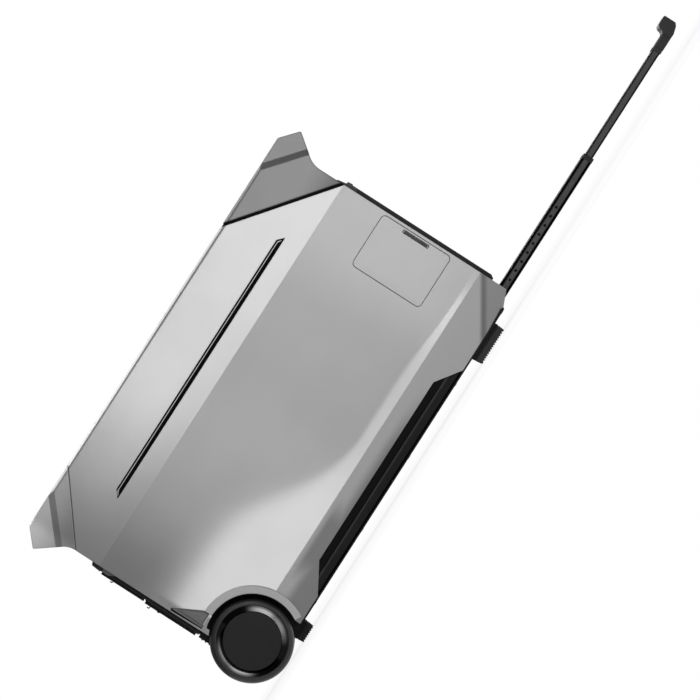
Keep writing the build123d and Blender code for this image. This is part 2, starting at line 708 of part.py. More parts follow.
# ---------------------------------------------------------------- trolley handle
tube_front = front_x + outer_tube_reach
tube_rear = tube_front - outer_tube_length
inner_front = tube_front + inner_tube_reach
inner_rear = tube_front - inner_tube_overlap
grip_rear = inner_front + grip_arm_length
grip_front = grip_rear + grip_head_length
collar_length = 6.5
outer_travel = outer_tube_reach - 4.0
inner_travel = inner_tube_reach - 3.0
sleeve_rear, sleeve_front = tube_rear - outer_travel - 6.0, tray_slope_x - 1.0 - gap
slot_half = 4.0
brace_half, brace_length = 3.0, 16.0
lock_hole_radius, lock_hole_pitch, lock_hole_count = 2.0, 15.0, 10
lock_hole_first = front_x + 14.0
lock_hole_last = (front_x + 179.9, front_x + 199.4)
band_half, band_depth = 3.5, 0.35


def tube_outline(y, size, radius):
    """A trolley tube's rounded outline in the end view."""
    return round_box((y, tube_z), size, radius)


with BuildPart() as guide_rails:
    for side in (-1, 1):
        y = side * tube_y
        add(end_prism(tube_outline(y, (2 * sleeve_half_width, 2 * sleeve_half_height), 3.0), sleeve_rear, sleeve_front))
        add(box((sleeve_rear + 20.0, sleeve_rear + 40.0), (y - 8.0, y + 8.0), (tray_floor_top, tube_z - 8.0)))
        add(box((sleeve_front - 60.0, sleeve_front - 40.0), (y - 8.0, y + 8.0), (tray_floor_top, tube_z - 8.0)))
        add(end_prism(tube_outline(y, (outer_tube_width + 2 * gap, outer_tube_height + 2 * gap),
                                   outer_tube_radius + gap / 2), sleeve_rear - 1.0, sleeve_front + 1.0),
            mode=Mode.SUBTRACT)
        y_span = sorted((side * (tube_y - sleeve_half_width - 1.0), side * (tube_y - outer_tube_width / 2)))
        add(box((sleeve_rear + 4.0, tube_rear + brace_length + 6.0), y_span, (tube_z - slot_half, tube_z + slot_half)),
            mode=Mode.SUBTRACT)
write(guide_rails, "guide_rails")

for side, name in ((-1, "right"), (1, "left")):
    y = side * tube_y
    with BuildPart() as outer_tube:
        add(end_prism(tube_outline(y, (outer_tube_width, outer_tube_height), outer_tube_radius), tube_rear, tube_front))
        add(end_prism(tube_outline(y, (outer_tube_width - 2 * outer_tube_wall, outer_tube_height - 2 * outer_tube_wall),
                                   outer_tube_radius - outer_tube_wall), tube_rear - 1.0, tube_front + 1.0),
            mode=Mode.SUBTRACT)
        face = side * (tube_y + outer_tube_width / 2)
        add(box((front_x + 4.0, tube_front - 4.0), sorted((face, face - side * band_depth)),
                (tube_z - band_half, tube_z + band_half)), mode=Mode.SUBTRACT)
        hole_xs = [lock_hole_first + lock_hole_pitch * index for index in range(lock_hole_count)]
        start = side * (tube_y + outer_tube_width / 2 + 1.0)
        with BuildSketch(Plane.XZ.offset(-start)):
            with Locations(*[(x, tube_z) for x in hole_xs + list(lock_hole_last)]):
                Circle(lock_hole_radius)
        extrude(amount=side * (outer_tube_wall + 2.0), mode=Mode.SUBTRACT)
    write(outer_tube, f"{name}_outer_tube")

    with BuildPart() as inner_tube:
        add(end_prism(tube_outline(y, (inner_tube_width, inner_tube_height), inner_tube_radius), inner_rear, inner_front))
        add(end_prism(tube_outline(y, (inner_tube_width - 2 * inner_tube_wall, inner_tube_height - 2 * inner_tube_wall),
                                   inner_tube_radius - inner_tube_wall), inner_rear - 1.0, inner_front + 1.0),
            mode=Mode.SUBTRACT)
    write(inner_tube, f"{name}_inner_tube")

brace_reach = tube_y - outer_tube_width / 2
with BuildPart() as handle_brace:
    add(box((tube_rear, tube_rear + brace_length), (-brace_reach, brace_reach),
            (tube_z - brace_half, tube_z + brace_half)))
write(handle_brace, "handle_brace")

with BuildPart() as grip_collars:
    for side in (-1, 1):
        y = side * tube_y
        add(end_prism(tube_outline(y, (inner_tube_width + 2.4, inner_tube_height + 2.4), outer_tube_radius), inner_front,
                      inner_front + collar_length))
        add(end_prism(tube_outline(y, (inner_tube_width - 2 * inner_tube_wall - 0.2,
                                       inner_tube_height - 2 * inner_tube_wall - 0.2), 1.2),
                      inner_front - 30.0, inner_front))
write(grip_collars, "grip_collars")

arm_bottom, arm_top = grip_floor - 0.3, grip_floor + 13.6
grip_top = grip_floor + grip_height
grip_outline = [(-1.0, arm_bottom), (5.5, arm_bottom - 0.1), (12.5, grip_floor + 1.5), (17.0, grip_floor + 3.0),
                (grip_head_length - 0.2, grip_floor + 6.0), (grip_head_length, grip_floor + 7.0),
                (grip_head_length, grip_top - 1.0), (grip_head_length - 1.0, grip_top), (9.0, grip_top),
                (6.6, grip_top - 0.25), (5.0, grip_top - 1.0), (3.4, grip_top - 2.5), (2.4, grip_top - 4.4),
                (2.1, grip_top - 6.4), (1.2, grip_top - 8.4), (-0.4, arm_top + 1.0), (-1.2, arm_top)]
button_half, button_bottom, button_top = 24.0, grip_floor + 8.6, grip_floor + 20.2
button_travel, pocket_depth = 2.0, 9.0
with BuildPart() as grip:
    add(side_prism(polygon(*[(grip_rear + x, z) for x, z in grip_outline]), -grip_width / 2, grip_width / 2))
    for side in (-1, 1):
        arm = round_box((side * tube_y, (arm_bottom + arm_top) / 2), (inner_tube_width + 3.0, arm_top - arm_bottom), 3.0)
        add(end_prism(arm, inner_front + collar_length, grip_rear + 2.0))
    add(box((grip_front - pocket_depth, grip_front + 1.0), (-button_half - moving_gap / 2, button_half + moving_gap / 2),
            (button_bottom - moving_gap / 2, button_top + moving_gap / 2)), mode=Mode.SUBTRACT)
write(grip, "grip")

with BuildPart() as release_button:
    add(box((grip_front - pocket_depth + button_travel + 0.5, grip_front + release_proud), (-button_half, button_half),
            (button_bottom, button_top)))
    chamfer(release_button.faces().sort_by(Axis.X)[-1].edges(), 0.8)
write(release_button, "release_button")

# ---------------------------------------------------------------- front panel and its fittings
panel_seat = end_lip + gap
display_half, display_low, display_high = 56.0, 212.0, 266.0
ports_half, ports_low, ports_high = 104.0, 92.0, 182.0
key_z, key_height, key_width, key_radius = 197.0, 9.0, 20.0, 3.0
usb_key_y, dc_key_y = -45.0, 45.0
power_y, power_z, power_radius = 92.0, 239.0, 10.0
front_face = front_x + front_panel_proud
with BuildPart() as front_panel:
    add(hull(panel_seat, front_x - end_wall, front_face))
    add(hull(panel_seat + panel_wall, front_x - end_wall - 1.0, front_face - panel_wall), mode=Mode.SUBTRACT)
    add(side_prism(polygon(
        (front_x - end_wall, front_panel_bottom),
        (front_face - 3.5, front_panel_bottom),
        (front_face, front_panel_bottom + 5.0),
        (front_face, front_panel_top),
        (front_x - end_wall, front_panel_top),
    ), -wide, wide), mode=Mode.INTERSECT)
    add(box((front_x - 6.0, front_face + 1.0), (-display_half - gap, display_half + gap),
            (display_low - gap, display_high + gap)), mode=Mode.SUBTRACT)
    add(box((front_x - 6.0, front_face + 1.0), (-ports_half - gap, ports_half + gap),
            (ports_low - gap, ports_high + gap)), mode=Mode.SUBTRACT)
    cuts = [round_box((y, key_z), (key_width + moving_gap, key_height + moving_gap), key_radius)
            for y in (usb_key_y, dc_key_y)]
    for cut in cuts:
        add(end_prism(cut, front_x - 6.0, front_face + 1.0), mode=Mode.SUBTRACT)
    with BuildSketch(Plane.YZ.offset(front_x - 6.0)):
        with Locations((power_y, power_z)):
            Circle(power_radius + moving_gap / 2)
    extrude(amount=20.0, mode=Mode.SUBTRACT)
write(front_panel, "front_panel")

nub_low, nub_high, nub_reach = 287.0, 294.0, 7.3
with BuildPart() as front_cap:
    add(side_prism(polygon(
        (front_x - end_wall, front_panel_top + gap),
        (front_face, front_panel_top + gap),
        (front_face, nub_low - 1.0),
        (front_x + nub_reach, nub_low),
        (front_x + nub_reach - 0.6, nub_high),
        (front_x + 3.6, nub_high + 1.0),
        (front_x + 1.2, 308.5),
        (front_x + 0.3, 308.5),
        (front_x + 0.3, 295.5),
        (front_x - end_wall, 295.5),
    ), -wide, wide))
    add(hull(panel_seat, front_x - end_wall, front_x + 20.0), mode=Mode.INTERSECT)
write(front_cap, "front_cap")

display_depth, lens_thickness = 12.0, 1.6
lens_front = front_face - 0.5
with BuildPart() as display_module:
    add(box((front_x - display_depth, lens_front - lens_thickness), (-display_half, display_half),
            (display_low, display_high)))
write(display_module, "display_module")

with BuildPart() as display_lens:
    add(box((lens_front - lens_thickness, lens_front), (-display_half, display_half), (display_low, display_high)))
write(display_lens, "display_lens")

car_radius, car_y, car_z, car_depth = 10.6, -72.0, 122.0, 30.0
usb_size, usb_z = (13.2, 5.8), 160.0
usb_ys = (-84.0, -56.0, -28.0, 0.0)
usbc_size, usbc_ys = (9.0, 3.2), (34.0, 62.0)
round_port_radius, round_port_ys = 4.0, (-22.0, 6.0)
power_port_size, power_port_y = (22.0, 10.0), 52.0
ports_front = front_face - 1.0
with BuildPart() as dc_ports:
    add(box((front_x - 8.0, ports_front), (-ports_half, ports_half), (ports_low, ports_high)))
    with BuildSketch(Plane.YZ.offset(front_x - car_depth)):
        with Locations((car_y, car_z)):
            Circle(car_radius + 3.0)
    extrude(amount=car_depth)
    with BuildSketch(Plane.YZ.offset(ports_front)):
        with Locations((car_y, car_z)):
            Circle(car_radius + 4.0)
            Circle(car_radius, mode=Mode.SUBTRACT)
    extrude(amount=1.4)
    with BuildSketch(Plane.YZ.offset(front_x - car_depth + 2.0)):
        with Locations((car_y, car_z)):
            Circle(car_radius)
    extrude(amount=car_depth + 20.0, mode=Mode.SUBTRACT)
    with BuildSketch(Plane.YZ.offset(ports_front)):
        with Locations(*[(y, usb_z) for y in usb_ys]):
            Rectangle(*usb_size)
        with Locations(*[(y, usb_z) for y in usbc_ys]):
            RectangleRounded(*usbc_size, usbc_size[1] / 2 - 0.05)
        with Locations(*[(y, car_z) for y in round_port_ys]):
            Circle(round_port_radius)
            Circle(1.2, mode=Mode.SUBTRACT)
        with Locations((power_port_y, car_z)):
            Rectangle(*power_port_size)
    extrude(amount=-10.0, mode=Mode.SUBTRACT)
    with BuildSketch(Plane.YZ.offset(ports_front - 10.0)):
        with Locations(*[(y, usb_z - 1.2) for y in usb_ys]):
            Rectangle(usb_size[0] - 2.0, 1.6)
    extrude(amount=8.0)
write(dc_ports, "dc_ports")


def make_key(y, z, back, face):
    """A rounded push key in the front panel."""
    with BuildPart() as key:
        add(end_prism(round_box((y, z), (key_width, key_height), key_radius - moving_gap / 2), back, face))
        chamfer(key.faces().sort_by(Axis.X)[-1].edges(), 0.5)
    return key


key_proud, key_depth, key_travel = 1.2, 5.0, 1.2
write(make_key(usb_key_y, key_z, front_face - key_depth, front_face + key_proud - 0.6), "usb_key")
write(make_key(dc_key_y, key_z, front_face - key_depth, front_face + key_proud - 0.6), "dc_key")
with BuildPart() as power_key:
    with BuildSketch(Plane.YZ.offset(front_face - key_depth)):
        with Locations((power_y, power_z)):
            Circle(power_radius)
    extrude(amount=key_depth + key_proud - 0.6)
    chamfer(power_key.faces().sort_by(Axis.X)[-1].edges(), 0.6)
write(power_key, "power_key")


# ---------------------------------------------------------------- rear panel and its fittings
cover_thickness = 3.2
cover_gap = 0.4
lower_step = 1.4  # the panel stands prouder behind the lower covers
rear_face = rear_x - rear_panel_proud
lower_face = rear_face - lower_step
upper_low, upper_high, upper_half = 219.0, 289.0, 134.0
lower_low, lower_high = 133.0, 216.0
lower_y = (-134.0, 22.0)
inlet_y = (30.0, 134.0)
inlet_high = 201.0
narrow_top = 129.0  # below this the panel fits between the wheel wells
cover_pin_radius = 0.9
lug_length, lug_gap = 3.5, 0.4
outlet_half_y, outlet_half_z = 19.0, 21.0
upper_outlet_ys, upper_outlet_z = (-84.0, 0.0, 84.0), 252.0
lower_outlet_ys, lower_outlet_z = (-98.0, -20.0), 172.0
inlet_y0, inlet_z0, inlet_half_y, inlet_half_z = 58.0, 166.0, 17.0, 13.0
solar_y0, solar_half_y, solar_half_z = 106.0, 13.0, 9.0
boss_y, boss_z = (-84.0, 84.0), (103.0, 127.0)
reset_y, reset_zs, reset_width, reset_height = -58.0, (109.0, 115.0, 121.0), 14.0, 2.2
ac_key_y, ac_key_z, ac_key_width, ac_key_height = 50.0, 115.0, 24.0, 12.0
boss_face = rear_x - 10.3


def rear_window(y_span, z_span, grow=gap):
    """A rectangular cut through the rear panel."""
    return box((rear_x - 20.0, rear_x + 2.0), (y_span[0] - grow, y_span[1] + grow),
               (z_span[0] - grow, z_span[1] + grow))


outlet_spots = [(y, upper_outlet_z) for y in upper_outlet_ys] + [(y, lower_outlet_z) for y in lower_outlet_ys]
cover_rows = [
    ((-upper_half, upper_half), upper_low, upper_high, rear_face),
    (lower_y, lower_low, lower_high, lower_face),
    (inlet_y, lower_low, inlet_high, lower_face),
]
with BuildPart() as rear_panel:
    with BuildPart(mode=Mode.PRIVATE) as upper_tub:
        add(hull(panel_seat, rear_face, rear_x + end_wall))
        add(hull(panel_seat + panel_wall, rear_face + panel_wall, rear_x + end_wall + 1.0), mode=Mode.SUBTRACT)
        add(box((rear_x - 30.0, rear_x + 10.0), (-wide, wide), (narrow_top, rear_panel_top)), mode=Mode.INTERSECT)
    add(upper_tub.part)
    add(box((rear_face, rear_face + panel_wall), (2.0 - liner_inner, liner_inner - 2.0), (rear_panel_bottom, narrow_top)))
    add(box((lower_face, rear_face), (-upper_half - 6.0, upper_half + 6.0), (narrow_top, lower_high + 1.0)))
    add(box((boss_face, rear_face), boss_y, boss_z))
    for y_span, low, high, face in cover_rows:
        for y, way in ((y_span[0], -1), (y_span[1], 1)):
            span = sorted((y + way * lug_gap, y + way * (lug_gap + lug_length)))
            add(box((face - cover_gap - cover_thickness, face), span, (low - 0.2, low + 4.0)))
        hinge = (face - cover_gap - cover_thickness / 2, low + cover_thickness / 2)
        reach = lug_gap + lug_length - 0.5
        add(side_prism(disc(hinge, cover_pin_radius + 0.02), -y_span[1] - reach, -y_span[0] + reach),
            mode=Mode.SUBTRACT)
    for y, z in outlet_spots:
        add(rear_window((y - outlet_half_y, y + outlet_half_y), (z - outlet_half_z, z + outlet_half_z)),
            mode=Mode.SUBTRACT)
    add(rear_window((inlet_y0 - inlet_half_y, inlet_y0 + inlet_half_y),
                    (inlet_z0 - inlet_half_z, inlet_z0 + inlet_half_z)), mode=Mode.SUBTRACT)
    add(rear_window((solar_y0 - solar_half_y, solar_y0 + solar_half_y),
                    (inlet_z0 - solar_half_z, inlet_z0 + solar_half_z)), mode=Mode.SUBTRACT)
    for z in reset_zs:
        add(rear_window((reset_y - reset_width / 2, reset_y + reset_width / 2),
                        (z - reset_height / 2, z + reset_height / 2)), mode=Mode.SUBTRACT)
    add(rear_window((ac_key_y - ac_key_width / 2, ac_key_y + ac_key_width / 2),
                    (ac_key_z - ac_key_height / 2, ac_key_z + ac_key_height / 2)), mode=Mode.SUBTRACT)
write(rear_panel, "rear_panel")

with BuildPart() as rear_cap:
    add(side_prism(polygon(
        (rear_x + end_wall, rear_panel_top + gap),
        (rear_x - 6.6, rear_panel_top + gap),
        (rear_x - 5.2, 306.0),
        (rear_x, 308.5),
        (rear_x, rear_seam_foot + rear_seam_gap - gap),
        (rear_x + end_wall, rear_seam_foot + rear_seam_gap - gap),
    ), -wide, wide))
    add(hull(panel_seat, rear_x - 20.0, rear_x + end_wall), mode=Mode.INTERSECT)
write(rear_cap, "rear_cap")

with BuildPart() as cover_pins:
    for y_span, low, high, face in cover_rows:
        hinge = (face - cover_gap - cover_thickness / 2, low + cover_thickness / 2)
        reach = lug_gap + lug_length - 0.5
        add(side_prism(disc(hinge, cover_pin_radius), -y_span[1] - reach, -y_span[0] + reach))
write(cover_pins, "cover_pins")


def make_cover(y_span, low, high, face, tab_y, tab_z):
    """A hinged socket cover with a curled finger tab; it swings down about the pin in its lower edge."""
    outer = face - cover_gap - cover_thickness
    inner = face - cover_gap
    middle = (outer + inner) / 2
    axis_z = low + cover_thickness / 2
    with BuildPart() as cover:
        add(box((outer, inner), y_span, (axis_z, high)))
        add(side_prism(disc((middle, axis_z), cover_thickness / 2), -y_span[1], -y_span[0]))
        add(side_prism(polygon(
            (outer + 0.3, tab_z - 0.8),
            (outer - 3.4, tab_z - 0.9),
            (outer - 4.6, tab_z + 0.3),
            (outer - 4.6, tab_z + 3.2),
            (outer - 3.5, tab_z + 3.2),
            (outer - 3.5, tab_z + 0.8),
            (outer - 3.1, tab_z + 0.3),
            (outer + 0.3, tab_z + 0.4),
        ), -tab_y - 15.0, -tab_y + 15.0))
        add(side_prism(disc((middle, axis_z), cover_pin_radius + pin_gap), -y_span[1] - 1.0, -y_span[0] + 1.0),
            mode=Mode.SUBTRACT)
    return cover


write(make_cover(*cover_rows[0], tab_y=0.0, tab_z=270.0), "upper_cover")
write(make_cover(*cover_rows[1], tab_y=-56.0, tab_z=207.0), "lower_cover")
write(make_cover(*cover_rows[2], tab_y=82.0, tab_z=192.0), "inlet_cover")

outlet_depth = 26.0
blade_height, blade_width, blade_spread = 8.4, 2.4, 6.35
with BuildPart() as ac_outlets:
    for y, z in outlet_spots:
        face = lower_face if z == lower_outlet_z else rear_face
        add(box((face + 0.6, rear_x + outlet_depth), (y - outlet_half_y, y + outlet_half_y),
                (z - outlet_half_z, z + outlet_half_z)))
        with BuildSketch(Plane.YZ.offset(face)):
            with Locations((y - blade_spread, z + 5.0), (y + blade_spread, z + 5.0)):
                Rectangle(blade_width, blade_height)
            with Locations((y, z - 7.0)):
                Circle(2.4)
        extrude(amount=18.0, mode=Mode.SUBTRACT)
write(ac_outlets, "ac_outlets")

recess_deep = 18.0
with BuildPart() as inlet_block:
    face = lower_face + 0.6
    add(box((face, rear_x + outlet_depth), (inlet_y0 - inlet_half_y, inlet_y0 + inlet_half_y),
            (inlet_z0 - inlet_half_z, inlet_z0 + inlet_half_z)))
    add(box((face - 1.0, face + recess_deep), (inlet_y0 - inlet_half_y + 4.0, inlet_y0 + inlet_half_y - 4.0),
            (inlet_z0 - inlet_half_z + 4.0, inlet_z0 + inlet_half_z - 4.0)), mode=Mode.SUBTRACT)
    for y in (-7.0, 0.0, 7.0):
        add(box((face + 3.0, face + recess_deep), (inlet_y0 + y - 1.0, inlet_y0 + y + 1.0),
                (inlet_z0 - 3.0, inlet_z0 + 3.0)))
    add(box((face, rear_x + outlet_depth), (solar_y0 - solar_half_y, solar_y0 + solar_half_y),
            (inlet_z0 - solar_half_z, inlet_z0 + solar_half_z)))
    add(box((face - 1.0, face + recess_deep), (solar_y0 - solar_half_y + 3.0, solar_y0 + solar_half_y - 3.0),
            (inlet_z0 - solar_half_z + 3.0, inlet_z0 + solar_half_z - 3.0)), mode=Mode.SUBTRACT)
    for y in (-5.0, 5.0):
        with BuildSketch(Plane.YZ.offset(face + 3.0)):
            with Locations((solar_y0 + y, inlet_z0)):
                Circle(2.0)
        extrude(amount=recess_deep - 3.0)
write(inlet_block, "inlet_block")

for index, z in enumerate(reset_zs, 1):
    with BuildPart() as reset_key:
        add(box((rear_x - 12.0, rear_x - 3.5), (reset_y - reset_width / 2, reset_y + reset_width / 2),
                (z - reset_height / 2, z + reset_height / 2)))
        chamfer(reset_key.faces().sort_by(Axis.X)[0].edges(), 0.4)
    write(reset_key, f"reset_key_{index}")

with BuildPart() as ac_key:
    add(box((boss_face - 1.0, rear_x - 4.0), (ac_key_y - ac_key_width / 2, ac_key_y + ac_key_width / 2),
            (ac_key_z - ac_key_height / 2, ac_key_z + ac_key_height / 2)))
    chamfer(ac_key.faces().sort_by(Axis.X)[0].edges(), 0.5)
write(ac_key, "ac_key")

# ---------------------------------------------------------------- port door and the bay behind it
notch_depth = 2.4
with BuildPart() as port_door:
    with BuildSketch(Plane.XY.offset(door_bottom)):
        with Locations((door_x, door_thickness / 2 - shell_half_width)):
            Rectangle(door_width, door_thickness)
    extrude(amount=door_height)
    fillet(port_door.edges().filter_by(Axis.Z).group_by(Axis.X)[0].sort_by(Axis.Y)[-1], 1.5)
    add(side_prism(round_box((door_x, door_z), (door_width, door_height), door_radius), 100.0, wide),
        mode=Mode.INTERSECT)
    add(side_prism(round_box((front_x - 9.6, 171.9), (5.2, 42.2), 1.2), shell_half_width - notch_depth, wide),
        mode=Mode.SUBTRACT)
    with BuildSketch(Plane.XY.offset(door_bottom - 1.0)):
        with Locations((hinge_x, hinge_y)):
            Circle(hinge_pin_radius + pin_gap)
    extrude(amount=door_height + 2.0, mode=Mode.SUBTRACT)
write(port_door, "port_door")

with BuildPart() as door_pin:
    with BuildSketch(Plane.XY.offset(door_bottom - moving_gap - pin_reach + 0.1)):
        with Locations((hinge_x, hinge_y)):
            Circle(hinge_pin_radius)
    extrude(amount=door_height + 2 * moving_gap + 2 * pin_reach - 0.2)
write(door_pin, "door_pin")

bay_wall, bay_mouth, bay_back = 2.5, shell_half_width - 7.5, 121.0
bay_half_x, bay_half_z = 40.0, 54.0
bay_flange_outer = shell_half_width - skin - boss_depth - 0.1
bay_flange = polygon((door_x - 50.0, door_z - bay_half_z - 10.0), (front_x - end_wall - gap, door_z - bay_half_z - 10.0),
                     (front_x - end_wall - gap, door_z + bay_half_z + 10.0), (door_x - 50.0, door_z + bay_half_z + 10.0))
with BuildPart() as port_bay:
    add(side_prism(bay_flange, bay_flange_outer - 2.0, bay_flange_outer))
    add(side_prism(round_box((door_x, door_z), (2 * bay_half_x, 2 * bay_half_z), 5.0), bay_back, bay_mouth))
    add(side_prism(round_box((door_x, door_z), (2 * bay_half_x - 2 * bay_wall, 2 * bay_half_z - 2 * bay_wall), 3.0),
                   bay_back + bay_wall, bay_mouth + 1.0), mode=Mode.SUBTRACT)
write(port_bay, "port_bay")

bay_port_radius, bay_port_bore, bay_port_spread, bay_port_length = 17.0, 12.5, 25.0, 16.0
with BuildPart() as bay_ports:
    start = bay_back + bay_wall
    for shift in (-bay_port_spread, bay_port_spread):
        spot = (door_x, door_z + shift)
        add(side_prism(disc(spot, bay_port_radius), start, start + bay_port_length))
        add(side_prism(disc(spot, bay_port_bore), start + 3.0, start + bay_port_length + 1.0), mode=Mode.SUBTRACT)
        for x, z in ((-5.0, 0.0), (5.0, 0.0)):
            add(side_prism(disc((spot[0] + x, spot[1] + z), 2.2), start + 3.0, start + 11.0))
write(bay_ports, "bay_ports")

# ---------------------------------------------------------------- battery, inverter and cooling fan
pack_rear, pack_front = rear_x + 110.0, front_x - 55.0
pack_half, pack_low, pack_high, pack_wall = 105.0, 46.0, 204.0, 3.0
cell_rows, cell_gap, cell_height = 14, 2.0, 146.0
with BuildPart() as battery_case:
    add(box((pack_rear, pack_front), (-pack_half, pack_half), (pack_low, pack_high)))
    add(box((pack_rear + pack_wall, pack_front - pack_wall), (pack_wall - pack_half, pack_half - pack_wall),
            (pack_low + pack_wall, pack_high + 1.0)), mode=Mode.SUBTRACT)
    for side in (-1, 1):
        span = sorted((side * pack_half, side * tray_wall_half))
        add(box((pack_rear + 20.0, pack_rear + 40.0), span, (tray_wall_top, pack_low + 30.0)))
        add(box((pack_front - 60.0, pack_front - 40.0), span, (tray_wall_top, pack_low + 30.0)))
write(battery_case, "battery_case")

cell_space = pack_front - pack_rear - 2 * pack_wall
cell_pitch = cell_space / cell_rows
with BuildPart() as battery_cells:
    for row in range(cell_rows):
        x = pack_rear + pack_wall + cell_pitch * (row + 0.5)
        for side in (-1, 1):
            y = side * (pack_half - pack_wall) / 2
            with Locations((x, y, pack_low + pack_wall + cell_height / 2)):
                Box(cell_pitch - cell_gap, pack_half - pack_wall - cell_gap, cell_height)
            for shift in (-22.0, 22.0):
                with Locations((x, y + shift, pack_low + pack_wall + cell_height + 1.5)):
                    Cylinder(5.0, 3.0)
write(battery_cells, "battery_cells")

board_z, board_thickness, board_half = 214.0, 2.0, 100.0
board_rear, board_front = pack_rear + 10.0, pack_front - 10.0
sink_rear, sink_front, sink_half = board_rear + 30.0, board_rear + 170.0, 80.0
fin_count, fin_thickness, fin_height, sink_base = 17, 2.2, 44.0, 6.0
with BuildPart() as inverter_board:
    add(box((board_rear, board_front), (-board_half, board_half), (board_z, board_z + board_thickness)))
    for x in (board_rear + 8.0, board_front - 8.0):
        for side in (-1, 1):
            with Locations((x, side * (board_half - 6.0), (pack_high + board_z) / 2)):
                Cylinder(4.0, board_z - pack_high)
    top = board_z + board_thickness
    for x, y, size in ((300.0, -60.0, (46.0, 42.0, 38.0)), (300.0, 0.0, (46.0, 42.0, 38.0)),
                       (300.0, 60.0, (46.0, 42.0, 38.0)), (362.0, -55.0, (30.0, 60.0, 26.0)),
                       (362.0, 45.0, (30.0, 60.0, 26.0))):
        with Locations((board_rear + x, y, top + size[2] / 2)):
            Box(*size)
    for index in range(6):
        with Locations((board_rear + 406.0, -75.0 + 30.0 * index, top + 20.0)):
            Cylinder(11.0, 40.0)
write(inverter_board, "inverter_board")

with BuildPart() as heat_sink:
    top = board_z + board_thickness
    add(box((sink_rear, sink_front), (-sink_half, sink_half), (top, top + sink_base)))
    pitch = (2 * sink_half - fin_thickness) / (fin_count - 1)
    for index in range(fin_count):
        y = -sink_half + fin_thickness / 2 + pitch * index
        add(box((sink_rear, sink_front), (y - fin_thickness / 2, y + fin_thickness / 2),
                (top + sink_base, top + sink_base + fin_height)))
write(heat_sink, "heat_sink")

fan_half, fan_depth, fan_bore, fan_boss = 46.0, 25.0, 43.5, 17.0
fan_x = sink_front + 20.0
fan_z = board_z + board_thickness + fan_half
spindle_radius = 2.5
blade_count, blade_tilt = 7, 32.0
with BuildPart() as fan_frame:
    add(end_prism(round_box((0.0, fan_z), (2 * fan_half, 2 * fan_half), 4.0), fan_x, fan_x + fan_depth))
    add(end_prism(disc((0.0, fan_z), fan_bore), fan_x - 1.0, fan_x + fan_depth + 1.0), mode=Mode.SUBTRACT)
    add(end_prism(disc((0.0, fan_z), fan_boss), fan_x + fan_depth - 4.0, fan_x + fan_depth))
    add(end_prism(disc((0.0, fan_z), spindle_radius), fan_x + 4.5, fan_x + fan_depth))
    for angle in (45.0, 135.0, 225.0, 315.0):
        with BuildPart(mode=Mode.PRIVATE) as strut:
            with BuildSketch(Plane.YZ.offset(fan_x + fan_depth - 4.0)):
                with Locations((0.0, fan_z)):
                    with PolarLocations(0.0, 1, start_angle=angle):
                        with Locations(((fan_boss + fan_bore) / 2, 0.0)):
                            Rectangle(fan_bore - fan_boss + 4.0, 4.0)
            extrude(amount=4.0)
        add(strut.part)
write(fan_frame, "fan_frame")

with BuildPart() as fan_rotor:
    add(end_prism(disc((0.0, fan_z), fan_boss - 1.0), fan_x + 2.0, fan_x + fan_depth - 6.0))
    for index in range(blade_count):
        blade = Plane(origin=(fan_x + fan_depth / 2 - 2.0, 0.0, fan_z), x_dir=(0, 1, 0), z_dir=(1, 0, 0))
        with BuildPart(mode=Mode.PRIVATE) as vane:
            with Locations(Location(blade) * Rotation(0, 0, 360.0 / blade_count * index)):
                with Locations(Pos((fan_boss + fan_bore) / 2 - 1.5, 0, 0) * Rotation(blade_tilt, 0, 0)):
                    Box(fan_bore - fan_boss - 1.0, 24.0, 1.6)
        add(vane.part)
    add(end_prism(disc((0.0, fan_z), spindle_radius + pin_gap), fan_x + 2.0 + 2.0, fan_x + fan_depth),
        mode=Mode.SUBTRACT)
write(fan_rotor, "fan_rotor")
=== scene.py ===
"""Looks of the wheeled power station: procedural materials, small fittings, studio light and camera."""
import json
import math

import bmesh
import bpy
from mathutils import Matrix, Vector


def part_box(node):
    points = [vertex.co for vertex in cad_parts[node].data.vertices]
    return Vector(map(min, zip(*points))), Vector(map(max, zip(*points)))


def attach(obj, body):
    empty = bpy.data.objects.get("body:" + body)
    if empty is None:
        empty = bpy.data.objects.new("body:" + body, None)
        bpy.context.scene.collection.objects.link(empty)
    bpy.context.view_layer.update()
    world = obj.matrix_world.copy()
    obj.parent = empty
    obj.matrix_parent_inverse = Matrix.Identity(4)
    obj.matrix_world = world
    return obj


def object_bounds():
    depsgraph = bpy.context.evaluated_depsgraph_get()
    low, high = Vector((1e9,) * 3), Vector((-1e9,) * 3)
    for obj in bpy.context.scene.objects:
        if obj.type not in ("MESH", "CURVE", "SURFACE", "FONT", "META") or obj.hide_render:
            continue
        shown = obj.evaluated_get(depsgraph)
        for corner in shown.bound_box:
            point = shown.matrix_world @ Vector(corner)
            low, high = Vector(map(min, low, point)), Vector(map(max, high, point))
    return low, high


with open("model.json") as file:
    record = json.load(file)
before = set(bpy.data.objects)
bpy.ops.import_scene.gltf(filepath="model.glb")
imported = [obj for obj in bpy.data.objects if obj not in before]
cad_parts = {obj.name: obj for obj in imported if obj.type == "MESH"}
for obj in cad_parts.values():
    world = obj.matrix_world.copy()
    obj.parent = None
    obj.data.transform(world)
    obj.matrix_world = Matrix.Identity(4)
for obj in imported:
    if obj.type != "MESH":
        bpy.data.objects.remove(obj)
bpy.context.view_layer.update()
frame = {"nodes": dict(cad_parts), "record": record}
nodes = frame["nodes"]
slot_of = {row["node"]: row["material_slot"] for row in frame["record"]["subparts"]}

X_AXIS, Z_AXIS = 0, 2

